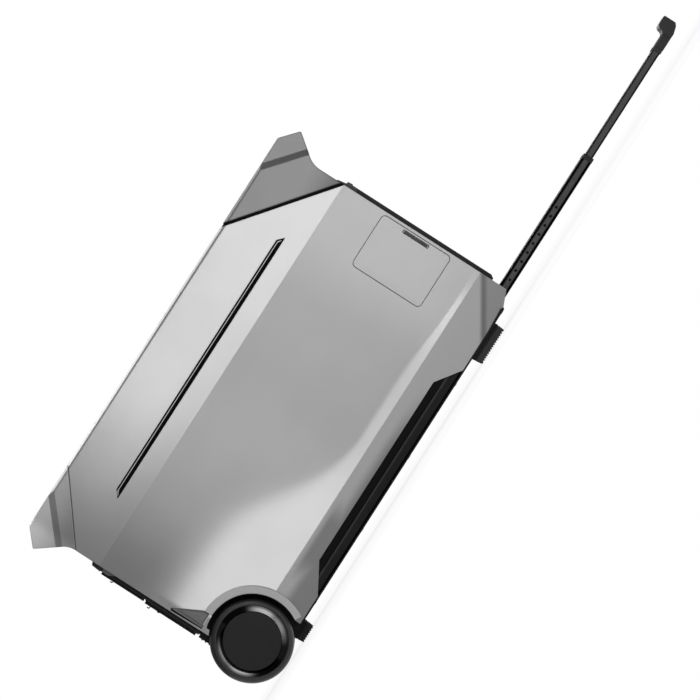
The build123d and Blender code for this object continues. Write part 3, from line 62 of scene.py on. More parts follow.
# Places that the shading follows, in metres
shell_box, axle_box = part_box("right_shell"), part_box("axle")
SHELL_REAR, SHELL_FRONT = shell_box[0][0], shell_box[1][0]
AXLE_X, AXLE_Z = (axle_box[0][0] + axle_box[1][0]) / 2, (axle_box[0][2] + axle_box[1][2]) / 2
LOWER_CREASE, UPPER_CREASE = 0.071, 0.297

# How square on a face is, from 0 to 1, to count as the body's flat side
SIDE_NORMAL = 0.995

# The sides' outward sweep: the height where it fades out, and its normals' lean upwards and forwards
FLARE_TOP, FLARE_UP, FLARE_FORWARD = 0.25, 0.27, 0.20

# The rims' dish: its inner radius, its normals' lean, the half width of the change between its two halves,
# and the cosine and sine of the angles that the lean is turned by and that the two arcs of painted reflection
# face
DISH_RADIUS, DISH_LEAN, DISH_CHANGE = 0.0415, 0.36, 0.016
DISH_TURN, ARC_FACING = (0.77, 0.64), (0.985, 0.174)
# how much the rims' colour is scaled off the two arcs and on them: painted shade and a painted reflection
DISH_PAINTED_DARK, DISH_PAINTED_GLINT = 0.08, 1.60

# What every finish shares
FLAKE_SCALE, WEAR_SCALE, SCUFF_SCALE = 2600.0, 70.0, 32.0
FLAKE_LIGHT, WEAR_LIGHT, WEAR_LEAST = 1.7, 1.5, 0.06
COAT_ROUGHNESS, BUMP_DISTANCE, HOLLOW_RADIUS = 0.18, 0.0002, 0.0035


# ---------------------------------------------------------------- material helpers
class Graph:
    """A small wrapper that adds nodes to a material and links them."""

    def __init__(self, name):
        self.material = bpy.data.materials.new(name)
        self.material.use_nodes = True
        self.tree = self.material.node_tree
        self.tree.nodes.clear()
        self.out = self.tree.nodes.new("ShaderNodeOutputMaterial")
        self.shader = self.tree.nodes.new("ShaderNodeBsdfPrincipled")
        self.tree.links.new(self.shader.outputs[0], self.out.inputs[0])
        self.coords = self.tree.nodes.new("ShaderNodeTexCoord").outputs["Object"]

    def node(self, kind, inputs=None, **attributes):
        made = self.tree.nodes.new(kind)
        for key, value in attributes.items():
            setattr(made, key, value)
        for key, value in (inputs or {}).items():
            self.feed(made.inputs[key], value)
        return made

    def feed(self, socket, value):
        """Links a socket into another, or sets its value."""
        if isinstance(value, bpy.types.NodeSocket):
            self.tree.links.new(value, socket)
        else:
            socket.default_value = value

    def noise(self, scale, detail=2.0, roughness=0.5, stretch=None):
        vector = self.coords
        if stretch:
            vector = self.node("ShaderNodeMapping", {"Vector": self.coords, "Scale": stretch}).outputs[0]
        return self.node("ShaderNodeTexNoise", {"Vector": vector, "Scale": scale, "Detail": detail,
                                                "Roughness": roughness}).outputs["Fac"]

    def cells(self, scale):
        return self.node("ShaderNodeTexVoronoi", {"Vector": self.coords, "Scale": scale}).outputs["Distance"]

    def ramp(self, value, low, high, start=0.0, stop=1.0, kind="LINEAR"):
        """A value that goes from low to high as another goes from start to stop."""
        made = self.node("ShaderNodeMapRange", interpolation_type=kind)
        for name, setting in (("Value", value), ("From Min", start), ("From Max", stop), ("To Min", low),
                              ("To Max", high)):
            self.feed(made.inputs[name], setting)
        return made.outputs[0]

    def smooth(self, value, low, high, start, stop):
        return self.ramp(value, low, high, start, stop, "SMOOTHSTEP")

    def hump(self, value, height, rise, fall):
        """0 outside, and height between the end of the rise and the start of the fall."""
        return self.product(self.smooth(value, 0.0, 1.0, *rise), self.smooth(value, height, 0.0, *fall))

    def math(self, operation, a, b=0.0):
        made = self.node("ShaderNodeMath", operation=operation)
        self.feed(made.inputs[0], a)
        self.feed(made.inputs[1], b)
        return made.outputs[0]

    def product(self, *values):
        result = values[0]
        for value in values[1:]:
            result = self.math("MULTIPLY", result, value)
        return result

    def total(self, *values):
        result = values[0]
        for value in values[1:]:
            result = self.math("ADD", result, value)
        return result

    def swap(self, first, second, share):
        """The first value where share is 0, and the second where it is 1."""
        return self.total(first, self.product(share, self.math("SUBTRACT", second, first)))

    def blend(self, fac, a, b):
        made = self.node("ShaderNodeMix", data_type="RGBA")
        self.feed(made.inputs["Factor"], fac)
        self.feed(made.inputs[6], a)
        self.feed(made.inputs[7], b)
        return made.outputs[2]

    def parts(self, vector):
        """A vector's x, y and z."""
        return self.node("ShaderNodeSeparateXYZ", {"Vector": vector}).outputs

    def geometry(self, name):
        return self.node("ShaderNodeNewGeometry").outputs[name]

    def unit(self, vector):
        return self.node("ShaderNodeVectorMath", {0: vector}, operation="NORMALIZE").outputs[0]

    def shaded(self, colour, factor):
        """A colour multiplied by a value."""
        return self.node("ShaderNodeVectorMath", {0: colour, 3: factor}, operation="SCALE").outputs[0]


def grey(level, tint=(1.0, 1.0, 1.0)):
    return (level * tint[0], level * tint[1], level * tint[2], 1.0)


def edge_mask(graph, radius):
    """Near 1 on a sharp edge, 0 on a flat."""
    round_normal = graph.node("ShaderNodeBevel", {"Radius": radius}, samples=4).outputs[0]
    dot = graph.node("ShaderNodeVectorMath", {0: round_normal, 1: graph.geometry("Normal")},
                     operation="DOT_PRODUCT").outputs["Value"]
    return graph.ramp(dot, 1.0, 0.0, 0.80, 0.995)


def flared(graph, normal):
    """Normals of the sides' slight outward sweep above the lower crease, wider towards the wheels."""
    x, _, z = graph.parts(graph.coords)
    _, across, _ = graph.parts(graph.geometry("True Normal"))
    flat = graph.math("GREATER_THAN", graph.math("ABSOLUTE", across), SIDE_NORMAL)
    # heights where the sweep starts and where it is full: both rise along these stretches towards the rear
    nose_span, start_span, full_span = (-0.08, 0.06), (-0.17, -0.38), (-0.22, -0.42)
    nose_start = graph.smooth(x, LOWER_CREASE + 0.034, LOWER_CREASE + 0.011, *nose_span)
    start = graph.smooth(x, nose_start, FLARE_TOP, *start_span)
    full = graph.smooth(x, LOWER_CREASE + 0.007, LOWER_CREASE + 0.057, *full_span)
    # the sweep dies out at the body's rear end, eases at its front, and leaves the heel behind the wheel flat
    rear_edge, front_edge, front_share = (SHELL_REAR + 0.003, SHELL_REAR + 0.016), (0.03, SHELL_FRONT), 0.6
    heel_span, heel_heights = (AXLE_X - 0.010, AXLE_X), (0.133, 0.142)
    ends = graph.product(graph.smooth(x, 0.0, 1.0, *rear_edge),
                         graph.smooth(x, 1.0, front_share, *front_edge))
    heel = graph.math("MAXIMUM", graph.smooth(x, 0.0, 1.0, *heel_span),
                      graph.smooth(z, 0.0, 1.0, *heel_heights))
    amount = graph.product(graph.smooth(z, 0.0, 1.0, start, full), ends, heel, flat,
                           graph.math("GREATER_THAN", z, LOWER_CREASE))
    forward_span = (-0.05, -0.44)
    forward = graph.smooth(x, 0.0, FLARE_FORWARD, *forward_span)
    lean = graph.node("ShaderNodeCombineXYZ", {"X": graph.product(amount, forward), "Y": 0.0,
                                               "Z": graph.product(amount, FLARE_UP)}).outputs[0]
    return graph.unit(graph.node("ShaderNodeVectorMath", {0: normal, 1: lean}, operation="ADD").outputs[0])


def side_painted_shading(graph):
    """Painted light and shade along the sides: mid panel, rear end, slope above the upper crease, lower
    facets and front corner.
    """
    x, _, z = graph.parts(graph.coords)
    # painted shade and light: the flat panel between the creases dips in the middle and runs from dark to
    # light at its rear end
    dip, tail_dark, tail_light = 0.165, -0.24, 0.12
    tail_span, settle_span, tail_heights = (-0.51, -0.39), (-0.36, -0.25), (0.19, 0.25)
    panel = graph.math("SUBTRACT", 1.0, graph.hump(x, dip, rise=(-0.28, -0.16), fall=(-0.06, 0.05)))
    tail = graph.total(graph.smooth(x, tail_dark, tail_light, *tail_span),
                       graph.smooth(x, 0.0, -tail_light, *settle_span))
    panel = graph.total(panel, graph.product(tail, graph.smooth(z, 0.0, 1.0, *tail_heights)))
    # painted highlight: the slope above the upper crease gleams towards the rear, and more so higher up
    gleam_level, crease_share, gleam_height = 0.34, 0.4, 0.36
    gleam = graph.product(graph.hump(x, gleam_level, rise=(-0.51, -0.40), fall=(-0.33, -0.14)),
                          graph.smooth(z, crease_share, 1.0, UPPER_CREASE, gleam_height))
    slope = graph.total(1.0, gleam)
    # painted shade: the front corner's facet starts at a slanted line, dark along it, then lighter again
    line_z, line_slope, line_dark, facet_light = 0.068, -1.56, 0.42, 0.26
    corner = graph.total(graph.math("SUBTRACT", x, SHELL_FRONT),
                         graph.product(graph.math("SUBTRACT", z, line_z), line_slope))
    facet = graph.total(graph.smooth(corner, 1.0, line_dark, -0.010, 0.002),
                        graph.smooth(corner, 0.0, facet_light, 0.004, 0.016))
    # painted shade: the strip below the lower crease darkens along its sill and in a hollow ahead of the
    # wheel
    sill_dark, sill_heights, sill_span = 0.45, (0.043, 0.060), (-0.17, -0.05)
    hollow_dark, hollow_heights = 0.45, (0.060, 0.070)
    sill = graph.product(graph.smooth(z, sill_dark, 0.0, *sill_heights),
                         graph.smooth(x, 1.0, 0.0, *sill_span))
    hollow = graph.product(graph.hump(x, hollow_dark, rise=(-0.40, -0.35), fall=(-0.30, -0.25)),
                           graph.smooth(z, 1.0, 0.0, *hollow_heights))
    below = graph.product(facet, graph.math("SUBTRACT", 1.0, graph.math("MAXIMUM", sill, hollow)))
    painted_shading = graph.swap(panel, slope, graph.math("GREATER_THAN", z, UPPER_CREASE))
    return graph.swap(painted_shading, below, graph.math("LESS_THAN", z, LOWER_CREASE))


def dished(graph, normal):
    """Normals of the rims' glossy dish, and the share of it that two facing arcs of painted reflection cover.
    """
    x, _, z = graph.parts(graph.geometry("Position"))
    _, across, _ = graph.parts(graph.geometry("True Normal"))
    along, up = graph.math("SUBTRACT", x, AXLE_X), graph.math("SUBTRACT", z, AXLE_Z)
    reach = graph.math("SQRT", graph.total(graph.product(along, along), graph.product(up, up)))
    lean_share = graph.product(graph.smooth(along, -1.0, 1.0, -DISH_CHANGE, DISH_CHANGE), DISH_LEAN)
    lean_share = graph.math("DIVIDE", lean_share, reach)
    turned_x = graph.math("SUBTRACT", graph.product(along, DISH_TURN[0]), graph.product(up, DISH_TURN[1]))
    turned_z = graph.total(graph.product(along, DISH_TURN[1]), graph.product(up, DISH_TURN[0]))
    lean = graph.node("ShaderNodeCombineXYZ", {"X": graph.product(turned_x, lean_share),
                                               "Y": graph.math("SIGN", across),
                                               "Z": graph.product(turned_z, lean_share)}).outputs[0]
    face = graph.product(graph.math("GREATER_THAN", graph.math("ABSOLUTE", across), 0.3),
                         graph.math("GREATER_THAN", reach, DISH_RADIUS))
    facing = graph.math("SUBTRACT", graph.product(along, ARC_FACING[0]), graph.product(up, ARC_FACING[1]))
    facing = graph.math("ABSOLUTE", graph.math("DIVIDE", facing, reach))
    arcs = graph.product(graph.smooth(facing, 0.0, 1.0, 0.52, 0.97), face,
                         graph.smooth(reach, 1.0, 0.25, DISH_RADIUS + 0.0040, DISH_RADIUS + 0.0075))
    made = graph.node("ShaderNodeMix", data_type="VECTOR")
    graph.feed(made.inputs["Factor"], face)
    graph.feed(made.inputs[4], normal)
    graph.feed(made.inputs[5], graph.unit(lean))
    return made.outputs[1], arcs


def finish_of(name, level, rough, metal=0.0, tint=(1.0, 1.0, 1.0), spread=0.08, grain=900.0, grain_depth=0.25,
              blotch=14.0, stretch=None, coat=0.0, edge=0.0012, wear=0.15, speck=0.0, cells=False, spec=0.25,
              flare_and_painted_shading=False, scuff=0.14, hollow=0.0, dish_and_painted_arcs=False, painted_edge_shade=0.0, fades=()):
    """A surface with colour drift, fine grain, uneven gloss, softened edges and edge wear, and where asked,
    painted light and shade.

    Each fade is (axis, start, level at start, stop, level at stop), in metres along x, y or z.
    """
    graph = Graph(name)
    drift = graph.noise(blotch, 3.0, 0.6)
    fine = graph.cells(grain) if cells else graph.noise(grain, 2.0, 0.6, stretch)
    low, high = grey(level * (1.0 - spread), tint), grey(min(1.0, level * (1.0 + spread)), tint)
    colour = graph.blend(graph.ramp(drift, 0.0, 1.0, 0.3, 0.7), low, high)
    if speck:
        flake = graph.ramp(graph.noise(FLAKE_SCALE, 1.0, 0.5), 0.0, speck, 0.45, 0.75)
        colour = graph.blend(flake, colour, grey(min(1.0, level * FLAKE_LIGHT), tint))
    if wear:
        patches = graph.ramp(graph.noise(WEAR_SCALE, 4.0, 0.65), 0.0, wear, 0.35, 0.75)
        worn = graph.product(edge_mask(graph, edge), patches)
        colour = graph.blend(worn, colour, grey(min(1.0, level * WEAR_LIGHT + WEAR_LEAST), tint))
    if flare_and_painted_shading:
        # painted light and shade along the sides
        colour = graph.shaded(colour, side_painted_shading(graph))
    if hollow:
        # painted shade: darker where the softened normal leans along the body, as in the horns' stepped
        # hollow
        rounded = graph.node("ShaderNodeBevel", {"Radius": HOLLOW_RADIUS}, samples=8).outputs[0]
        lean, across, _ = graph.parts(rounded)
        band = graph.product(graph.smooth(graph.math("ABSOLUTE", lean), 0.0, 1.0, 0.03, 0.30),
                             graph.smooth(graph.math("ABSOLUTE", across), 0.0, hollow, 0.4, 0.7))
        colour = graph.shaded(colour, graph.math("SUBTRACT", 1.0, band))
    if painted_edge_shade:
        # painted shade on edges that turn away from the side
        _, across, _ = graph.parts(graph.geometry("Normal"))
        turned = graph.smooth(graph.math("ABSOLUTE", across), painted_edge_shade, 1.0, 0.90, 0.9995)
        colour = graph.shaded(colour, turned)
    # colour fades along an axis; on the horns and the handle tubes these are painted light and shade
    for axis, start, start_level, stop, stop_level in fades:
        place = graph.parts(graph.coords)[axis]
        colour = graph.shaded(colour, graph.smooth(place, start_level, stop_level, start, stop))
    soft = graph.node("ShaderNodeBevel", {"Radius": edge}, samples=4).outputs[0]
    if flare_and_painted_shading:
        soft = flared(graph, soft)
    if dish_and_painted_arcs:
        soft, arcs = dished(graph, soft)
        # painted reflection: the rims' colour is lit up on the two arcs and darkened off them
        colour = graph.shaded(colour, graph.ramp(arcs, DISH_PAINTED_DARK, DISH_PAINTED_GLINT))
    smoother, rougher = rough * (1.0 - scuff), min(1.0, rough * (1.0 + scuff))
    scuffs = graph.ramp(graph.noise(SCUFF_SCALE, 5.0, 0.7), smoother, rougher, 0.3, 0.7)
    bump = graph.node("ShaderNodeBump", {"Strength": grain_depth, "Distance": BUMP_DISTANCE, "Height": fine,
                                         "Normal": soft}).outputs[0]
    values = {"Base Color": colour, "Metallic": metal, "Roughness": scuffs, "Normal": bump,
              "Coat Weight": coat, "Coat Roughness": COAT_ROUGHNESS, "Specular IOR Level": spec}
    for socket, value in values.items():
        graph.feed(graph.shader.inputs[socket], value)
    return graph.material


FINISHES = {
    # the shell's silver, with painted light and shade along its sides
    "shell_silver": dict(level=0.37, rough=0.30, metal=0.8, speck=0.18, spread=0.02, grain=1500.0,
                         grain_depth=0.06, wear=0.10, edge=0.0012, flare_and_painted_shading=True, spec=0.5, scuff=0.025),
    # painted light on the horns: lighter at the rear tip and higher up, with a little painted shade in the
    # hollow
    "horn_silver": dict(level=0.31, rough=0.36, metal=0.75, speck=0.18, spread=0.02, grain=1500.0,
                        grain_depth=0.08, wear=0.04, edge=0.0015, spec=0.5, scuff=0.03, hollow=0.08,
                        fades=((X_AXIS, -0.527, 1.35, -0.507, 0.95), (Z_AXIS, 0.350, 0.9, 0.405, 1.55))),
    # painted shade on the horns' band: darker lower down and in its hollow
    "horn_grey": dict(level=0.205, rough=0.38, metal=0.6, speck=0.15, spread=0.03, grain=1400.0,
                      grain_depth=0.12, wear=0.04, edge=0.0015, spec=0.4, scuff=0.03, hollow=0.42,
                      fades=((Z_AXIS, 0.300, 0.55, 0.350, 1.0),)),
    "arch_grey": dict(level=0.50, rough=0.45, metal=0.55, speck=0.18, spread=0.02, grain=1500.0,
                      grain_depth=0.06, wear=0.08, edge=0.0004),
    # a darker grey for the recessed air scoops' shaded silver, a painted shade; the rear panel's grey corners
    # use it too
    "vent_grey": dict(level=0.20, rough=0.5, metal=0.3, speck=0.1, spread=0.05, grain=1400.0,
                      grain_depth=0.2, wear=0.08, edge=0.0006),
    # a light strip that paints the highlight along the slots' ridge edges
    "light_line": dict(level=0.62, rough=0.35, spread=0.03, grain=1200.0, grain_depth=0.05, wear=0.0,
                       edge=0.0002),
    "screen_line": dict(level=0.55, rough=0.4, tint=(0.75, 0.95, 1.0), spread=0.05, grain=1200.0,
                        grain_depth=0.05, wear=0.0, edge=0.0001),
    # the rims: two arcs of painted reflection on the dish, darker elsewhere
    "rim_black": dict(level=0.11, rough=0.2, metal=1.0, spread=0.05, grain=1200.0, grain_depth=0.02,
                      wear=0.03, edge=0.0006, dish_and_painted_arcs=True),
    "gloss_black": dict(level=0.004, rough=0.4, spread=0.1, grain=1200.0, grain_depth=0.05, wear=0.0,
                        edge=0.0004, spec=0.03),
    "trim_black": dict(level=0.012, rough=0.4, spread=0.1, grain=1600.0, grain_depth=0.3, wear=0.08,
                       edge=0.0008),
    "recess_black": dict(level=0.020, rough=0.45, spread=0.1, grain=1600.0, grain_depth=0.3, wear=0.04,
                         edge=0.0008, spec=0.08,
                         fades=((Z_AXIS, 0.0290, 1.0, 0.0306, 3.2), (Z_AXIS, 0.0318, 1.0, 0.0330, 0.06))),
    "deck_grey": dict(level=0.075, rough=0.55, spread=0.08, grain=1300.0, grain_depth=0.5, wear=0.10,
                      edge=0.001),
    "mat_rubber": dict(level=0.018, rough=0.75, spread=0.12, grain=420.0, grain_depth=0.9, wear=0.05,
                       edge=0.0008, cells=True),
    "frame_black": dict(level=0.010, rough=0.6, spread=0.12, grain=1100.0, grain_depth=0.5, wear=0.08,
                        edge=0.0008),
    "foot_rubber": dict(level=0.050, rough=0.8, spread=0.12, grain=700.0, grain_depth=0.6, wear=0.12,
                        edge=0.0004, fades=((Z_AXIS, 0.0080, 1.0, 0.0105, 0.35),)),
    "axle_steel": dict(level=0.5, rough=0.3, metal=1.0, spread=0.06, grain=800.0, grain_depth=0.3, wear=0.2,
                       edge=0.0004, stretch=(1.0, 0.05, 1.0)),
    "tyre_rubber": dict(level=0.020, rough=0.36, spread=0.15, grain=900.0, grain_depth=0.25, wear=0.10,
                        edge=0.0015, spec=0.5),
    "cap_black": dict(level=0.017, rough=0.5, spread=0.06, grain=1500.0, grain_depth=0.3, wear=0.06,
                      edge=0.0008),
    "rail_black": dict(level=0.03, rough=0.4, metal=0.8, spread=0.08, grain=900.0, grain_depth=0.3,
                       wear=0.1, edge=0.0005, stretch=(0.04, 1.0, 1.0)),
    # painted shade along the handle tube's rounded edges, top and bottom
    "tube_black": dict(level=0.060, rough=0.34, metal=1.0, spread=0.08, grain=1100.0, grain_depth=0.25,
                       wear=0.05, edge=0.0008, stretch=(0.03, 1.0, 1.0), painted_edge_shade=0.12,
                       fades=((Z_AXIS, 0.0262, 0.04, 0.0284, 1.0), (Z_AXIS, 0.0336, 1.0, 0.0358, 0.04))),
    "grip_grey": dict(level=0.030, rough=0.5, spread=0.08, grain=900.0, grain_depth=0.6, wear=0.10,
                      edge=0.001, cells=True),
    "panel_black": dict(level=0.012, rough=0.42, spread=0.1, grain=1500.0, grain_depth=0.4, wear=0.08,
                        edge=0.001, fades=((X_AXIS, -0.5236, 2.2, -0.5214, 0.6),)),
    "cap_grey": dict(level=0.055, rough=0.45, spread=0.06, grain=1400.0, grain_depth=0.3, wear=0.08,
                     edge=0.001),
    "port_black": dict(level=0.018, rough=0.5, spread=0.1, grain=1300.0, grain_depth=0.4, wear=0.08,
                       edge=0.0005),
    "key_grey": dict(level=0.05, rough=0.4, spread=0.08, grain=1400.0, grain_depth=0.3, wear=0.1,
                     edge=0.0006),
    "cover_rubber": dict(level=0.014, rough=0.6, spread=0.12, grain=1000.0, grain_depth=0.6, wear=0.1,
                         edge=0.001),
    "case_steel": dict(level=0.06, rough=0.5, spread=0.1, grain=700.0, grain_depth=0.4, wear=0.2,
                       edge=0.001),
    "cell_blue": dict(level=0.2, rough=0.35, tint=(0.25, 0.5, 1.0), spread=0.08, grain=600.0,
                      grain_depth=0.15, wear=0.05),
    "board_green": dict(level=0.14, rough=0.45, tint=(0.2, 1.0, 0.45), spread=0.2, grain=260.0,
                        grain_depth=0.6, wear=0.05, cells=True),
    "sink_aluminium": dict(level=0.6, rough=0.35, metal=1.0, spread=0.05, grain=900.0, grain_depth=0.4,
                           wear=0.1, stretch=(0.05, 1.0, 1.0)),
}
materials = {name: finish_of(name, **values) for name, values in FINISHES.items()}


def glass():
    """Dark display glass with faint smudges."""
    graph = Graph("display_glass")
    smudge = graph.noise(22.0, 4.0, 0.7)
    colour = graph.blend(graph.ramp(smudge, 0.0, 1.0, 0.3, 0.7), grey(0.006), grey(0.011))
    graph.feed(graph.shader.inputs["Base Color"], colour)
    graph.feed(graph.shader.inputs["Roughness"], graph.ramp(smudge, 0.05, 0.14, 0.3, 0.75))
    graph.feed(graph.shader.inputs["Coat Weight"], 0.8)
    return graph.material


materials["display_glass"] = glass()
own_finish = {"recess_inserts": "recess_black"}

for node, thing in nodes.items():
    made = materials[own_finish.get(node, slot_of[node])]
    if not thing.data.materials:
        thing.data.materials.append(made)
    for index in range(len(thing.data.materials)):
        thing.data.materials[index] = made

# ---------------------------------------------------------------- small fittings, sized in millimetres
SIDES = ((-1, "right"), (1, "left"))
MM = 1000.0


def span(node):
    """A node's lowest and highest corner, in millimetres."""
    first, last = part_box(node)
    return [value * MM for value in first], [value * MM for value in last]


def piece(name, body, finish, shapes, bevel=0.0):
    """One mesh from closed prisms, each (bottom loop, top loop) of x, y, z points in millimetres."""
    mesh = bmesh.new()
    for bottom, top in shapes:
        low_ring = [mesh.verts.new([value / MM for value in point]) for point in bottom]
        high_ring = [mesh.verts.new([value / MM for value in point]) for point in top]
        mesh.faces.new(low_ring[::-1])
        mesh.faces.new(high_ring)
        for index in range(len(low_ring)):
            after = (index + 1) % len(low_ring)
            mesh.faces.new((low_ring[index], low_ring[after], high_ring[after], high_ring[index]))
    bmesh.ops.recalc_face_normals(mesh, faces=mesh.faces)
    if bevel:
        bmesh.ops.bevel(mesh, geom=mesh.edges[:], offset=bevel / MM, segments=2, profile=0.6, affect="EDGES",
                        clamp_overlap=True)
    data = bpy.data.meshes.new(name)
    mesh.to_mesh(data)
    mesh.free()
    thing = bpy.data.objects.new(name, data)
    bpy.context.scene.collection.objects.link(thing)
    data.materials.append(materials[finish])
    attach(thing, body)
    return thing


def across(outline, start, stop):
    """A prism of an x, z outline from one y to another."""
    return [(x, start, z) for x, z in outline], [(x, stop, z) for x, z in outline]


def along(outline, start, stop):
    """A prism of a y, z outline from one x to another."""
    return [(start, y, z) for y, z in outline], [(stop, y, z) for y, z in outline]


def rectangle(left, foot, right, head):
    return [(left, foot), (right, foot), (right, head), (left, head)]


def quads_between(first, second):
    """The quads that fill the band between two matching open lines of points."""
    return [(first[index], first[index + 1], second[index + 1], second[index])
            for index in range(len(first) - 1)]


def ring_shapes(outer, inner):
    """Prisms that fill the band between two matching closed loops; each point is (bottom, top)."""
    quads = quads_between(outer + outer[:1], inner + inner[:1])
    return [([point[0] for point in quad], [point[1] for point in quad]) for quad in quads]


def circle(radius, count=40, start=0.0, stop=2.0 * math.pi, ends=False):
    """Points on a circle; with ends, an arc that includes both of its ends."""
    steps = count if not ends else count - 1
    angles = [start + (stop - start) * index / steps for index in range(count)]
    return [(radius * math.cos(angle), radius * math.sin(angle)) for angle in angles]


def rounded(half_y, half_z, corner, count=6):
    """A rectangle with rounded corners, count points to a corner."""
    points = []
    for side_y, side_z, first in ((1, 1, 0.0), (-1, 1, 0.5), (-1, -1, 1.0), (1, -1, 1.5)):
        for step in range(count):
            angle = math.pi * (first + 0.5 * step / (count - 1))
            points.append((side_y * (half_y - corner) + corner * math.cos(angle),
                           side_z * (half_z - corner) + corner * math.sin(angle)))
    return points


def screw(centre, axis, side, radius):
    """A low screw head with a hexagonal socket, standing out from a face along +/- one axis."""
    proud, crown_share, socket_share, socket_floor, count = 0.6, 0.82, 0.46, 0.35, 24
    others = [index for index in range(3) if index != axis]

    def place(first, second, out):
        point = list(centre)
        point[axis] += side * out
        point[others[0]] += first
        point[others[1]] += second
        return point

    rim, crown = circle(radius, count), circle(radius * crown_share, count)
    hexagon = []
    for index in range(count):
        angle = 2.0 * math.pi * index / count
        reach = radius * socket_share / math.cos((angle % (math.pi / 3.0)) - math.pi / 6.0)
        hexagon.append((reach * math.cos(angle), reach * math.sin(angle)))
    shapes = ring_shapes([(place(*foot, 0.0), place(*head, proud)) for foot, head in zip(rim, crown)],
                         [(place(*point, 0.0), place(*point, proud)) for point in hexagon])
    shapes.append(([place(*point, 0.0) for point in hexagon],
                   [place(*point, proud * socket_floor) for point in hexagon]))
    return shapes


REAR, FRONT, TOP = SHELL_REAR * MM, SHELL_FRONT * MM, shell_box[1][2] * MM
SIDE_HALF, TOP_INSET = 165.0, 20.0


def side_y(z):
    """Half width of the body's side at height z, above the lower crease."""
    crease = UPPER_CREASE * MM
    return SIDE_HALF - TOP_INSET * max(0.0, z - crease) / (TOP - crease)


# light strip set in the long slot of each side, a painted highlight on the slot's ridge edges: a foot at each
# end and the run between them
highlight_rear, highlight_front = REAR + 91.4, REAR + 523.7
line_top, line_foot, line_low = 332.1, 331.1, 327.9
line_deep, line_face = 1.6, 0.42
rear_foot = [(highlight_rear + 4.2, line_low), (highlight_rear + 5.6, line_low)]
rear_turn = [(highlight_rear + 11.6, line_foot), (highlight_rear + 9.8, line_top)]
front_turn = [(highlight_front - 11.0, line_foot), (highlight_front - 9.8, line_top)]
front_foot = [(highlight_front - 6.6, line_low), (highlight_front - 5.4, line_low)]
line_quads = [rear_foot + rear_turn, rear_turn[::-1] + front_turn, front_turn[::-1] + front_foot]
for side, name in SIDES:
    shapes = [([(x, side * (side_y(z) - line_deep), z) for x, z in quad],
               [(x, side * (side_y(z) - line_face), z) for x, z in quad]) for quad in line_quads]
    piece(f"slot_painted_highlight_{name}", "housing", "light_line", shapes)

# grey corners where the rear panel's sides meet the shells
panel_low, panel_high = span("rear_panel")
corner_rear, corner_front, corner_deep, corner_proud = REAR - 5.2, REAR - 0.05, 0.6, 0.25
corner = [(corner_rear, 288.6), (corner_front, 291.3), (corner_front, 270.0), (corner_rear, 279.0)]
for (side, name), edge_y in zip(SIDES, (-panel_low[1], panel_high[1])):
    piece(f"rear_corner_{name}", "housing", "vent_grey",
          [across(corner, side * (edge_y - corner_deep), side * (edge_y + corner_proud))])

# flat trim on the lip round each wheel opening
axle_x, axle_z = AXLE_X * MM, AXLE_Z * MM
lip_y, lip_deep, lip_proud = 166.2, 0.5, 0.15
arch_radii, arch_from, arch_to, arch_points = (66.7, 76.8), math.radians(-31.0), math.radians(89.8), 64
arcs = [[(axle_x + x, axle_z + z) for x, z in circle(radius, arch_points, arch_from, arch_to, True)]
        for radius in arch_radii]
for side, name in SIDES:
    trim_back, trim_face = side * (lip_y - lip_deep), side * (lip_y + lip_proud)
    piece(f"arch_trim_{name}", "housing", "arch_grey",
          [across(quad, trim_back, trim_face) for quad in quads_between(*arcs)])

# dark filler plates between the wheel wells and the rear panel, a painted shade behind the gap at each heel
filler_inner, filler_outer = 116.4, 119.4
filler = rectangle(REAR - 4.6, 50.0, REAR + 8.0, 124.0)
for side, name in SIDES:
    piece(f"heel_shade_filler_{name}", "housing", "frame_black",
          [across(filler, side * filler_inner, side * filler_outer)])

# facets standing in the air scoops ahead of the rear panel, in the scoops' darker grey, a painted shade
facet_foot_y, facet_crown_y = 162.9, 164.6
foot = [(REAR + 6.4, 175.0), (REAR + 23.6, 139.2), (REAR + 23.6, 133.0), (REAR + 6.4, 132.6)]
crown = [(REAR + 9.0, 163.0), (REAR + 17.0, 143.0), (REAR + 13.0, 137.0), (REAR + 8.0, 137.0)]
for side, name in SIDES:
    facet = ([(x, side * facet_foot_y, z) for x, z in foot], [(x, side * facet_crown_y, z) for x, z in crown])
    piece(f"scoop_facet_{name}", "housing", "vent_grey", [facet])

# black lining in the side door's notch, a painted shade for its recess, and a finger plate
notch_x, notch_z, notch_half_x, notch_half_z = FRONT - 9.6, 171.9, 2.6, 21.1
notch_floor, notch_mouth, plate_top = -162.7, -164.7, -164.2


def in_notch(inset_x, inset_z):
    """The notch's outline drawn in by a margin at its sides and ends."""
    half_x, half_z = notch_half_x - inset_x, notch_half_z - inset_z
    return rectangle(notch_x - half_x, notch_z - half_z, notch_x + half_x, notch_z + half_z)


notch_shade = [[((x, notch_floor, z), (x, notch_mouth, z)) for x, z in in_notch(*inset)]
          for inset in ((0.05, 0.05), (0.75, 1.0))]
piece("notch_shade_lining", "side_door", "gloss_black", ring_shapes(*notch_shade))
piece("notch_plate", "side_door", "cap_grey",
      [across(in_notch(1.1, 2.2), notch_floor, plate_top)], bevel=0.3)

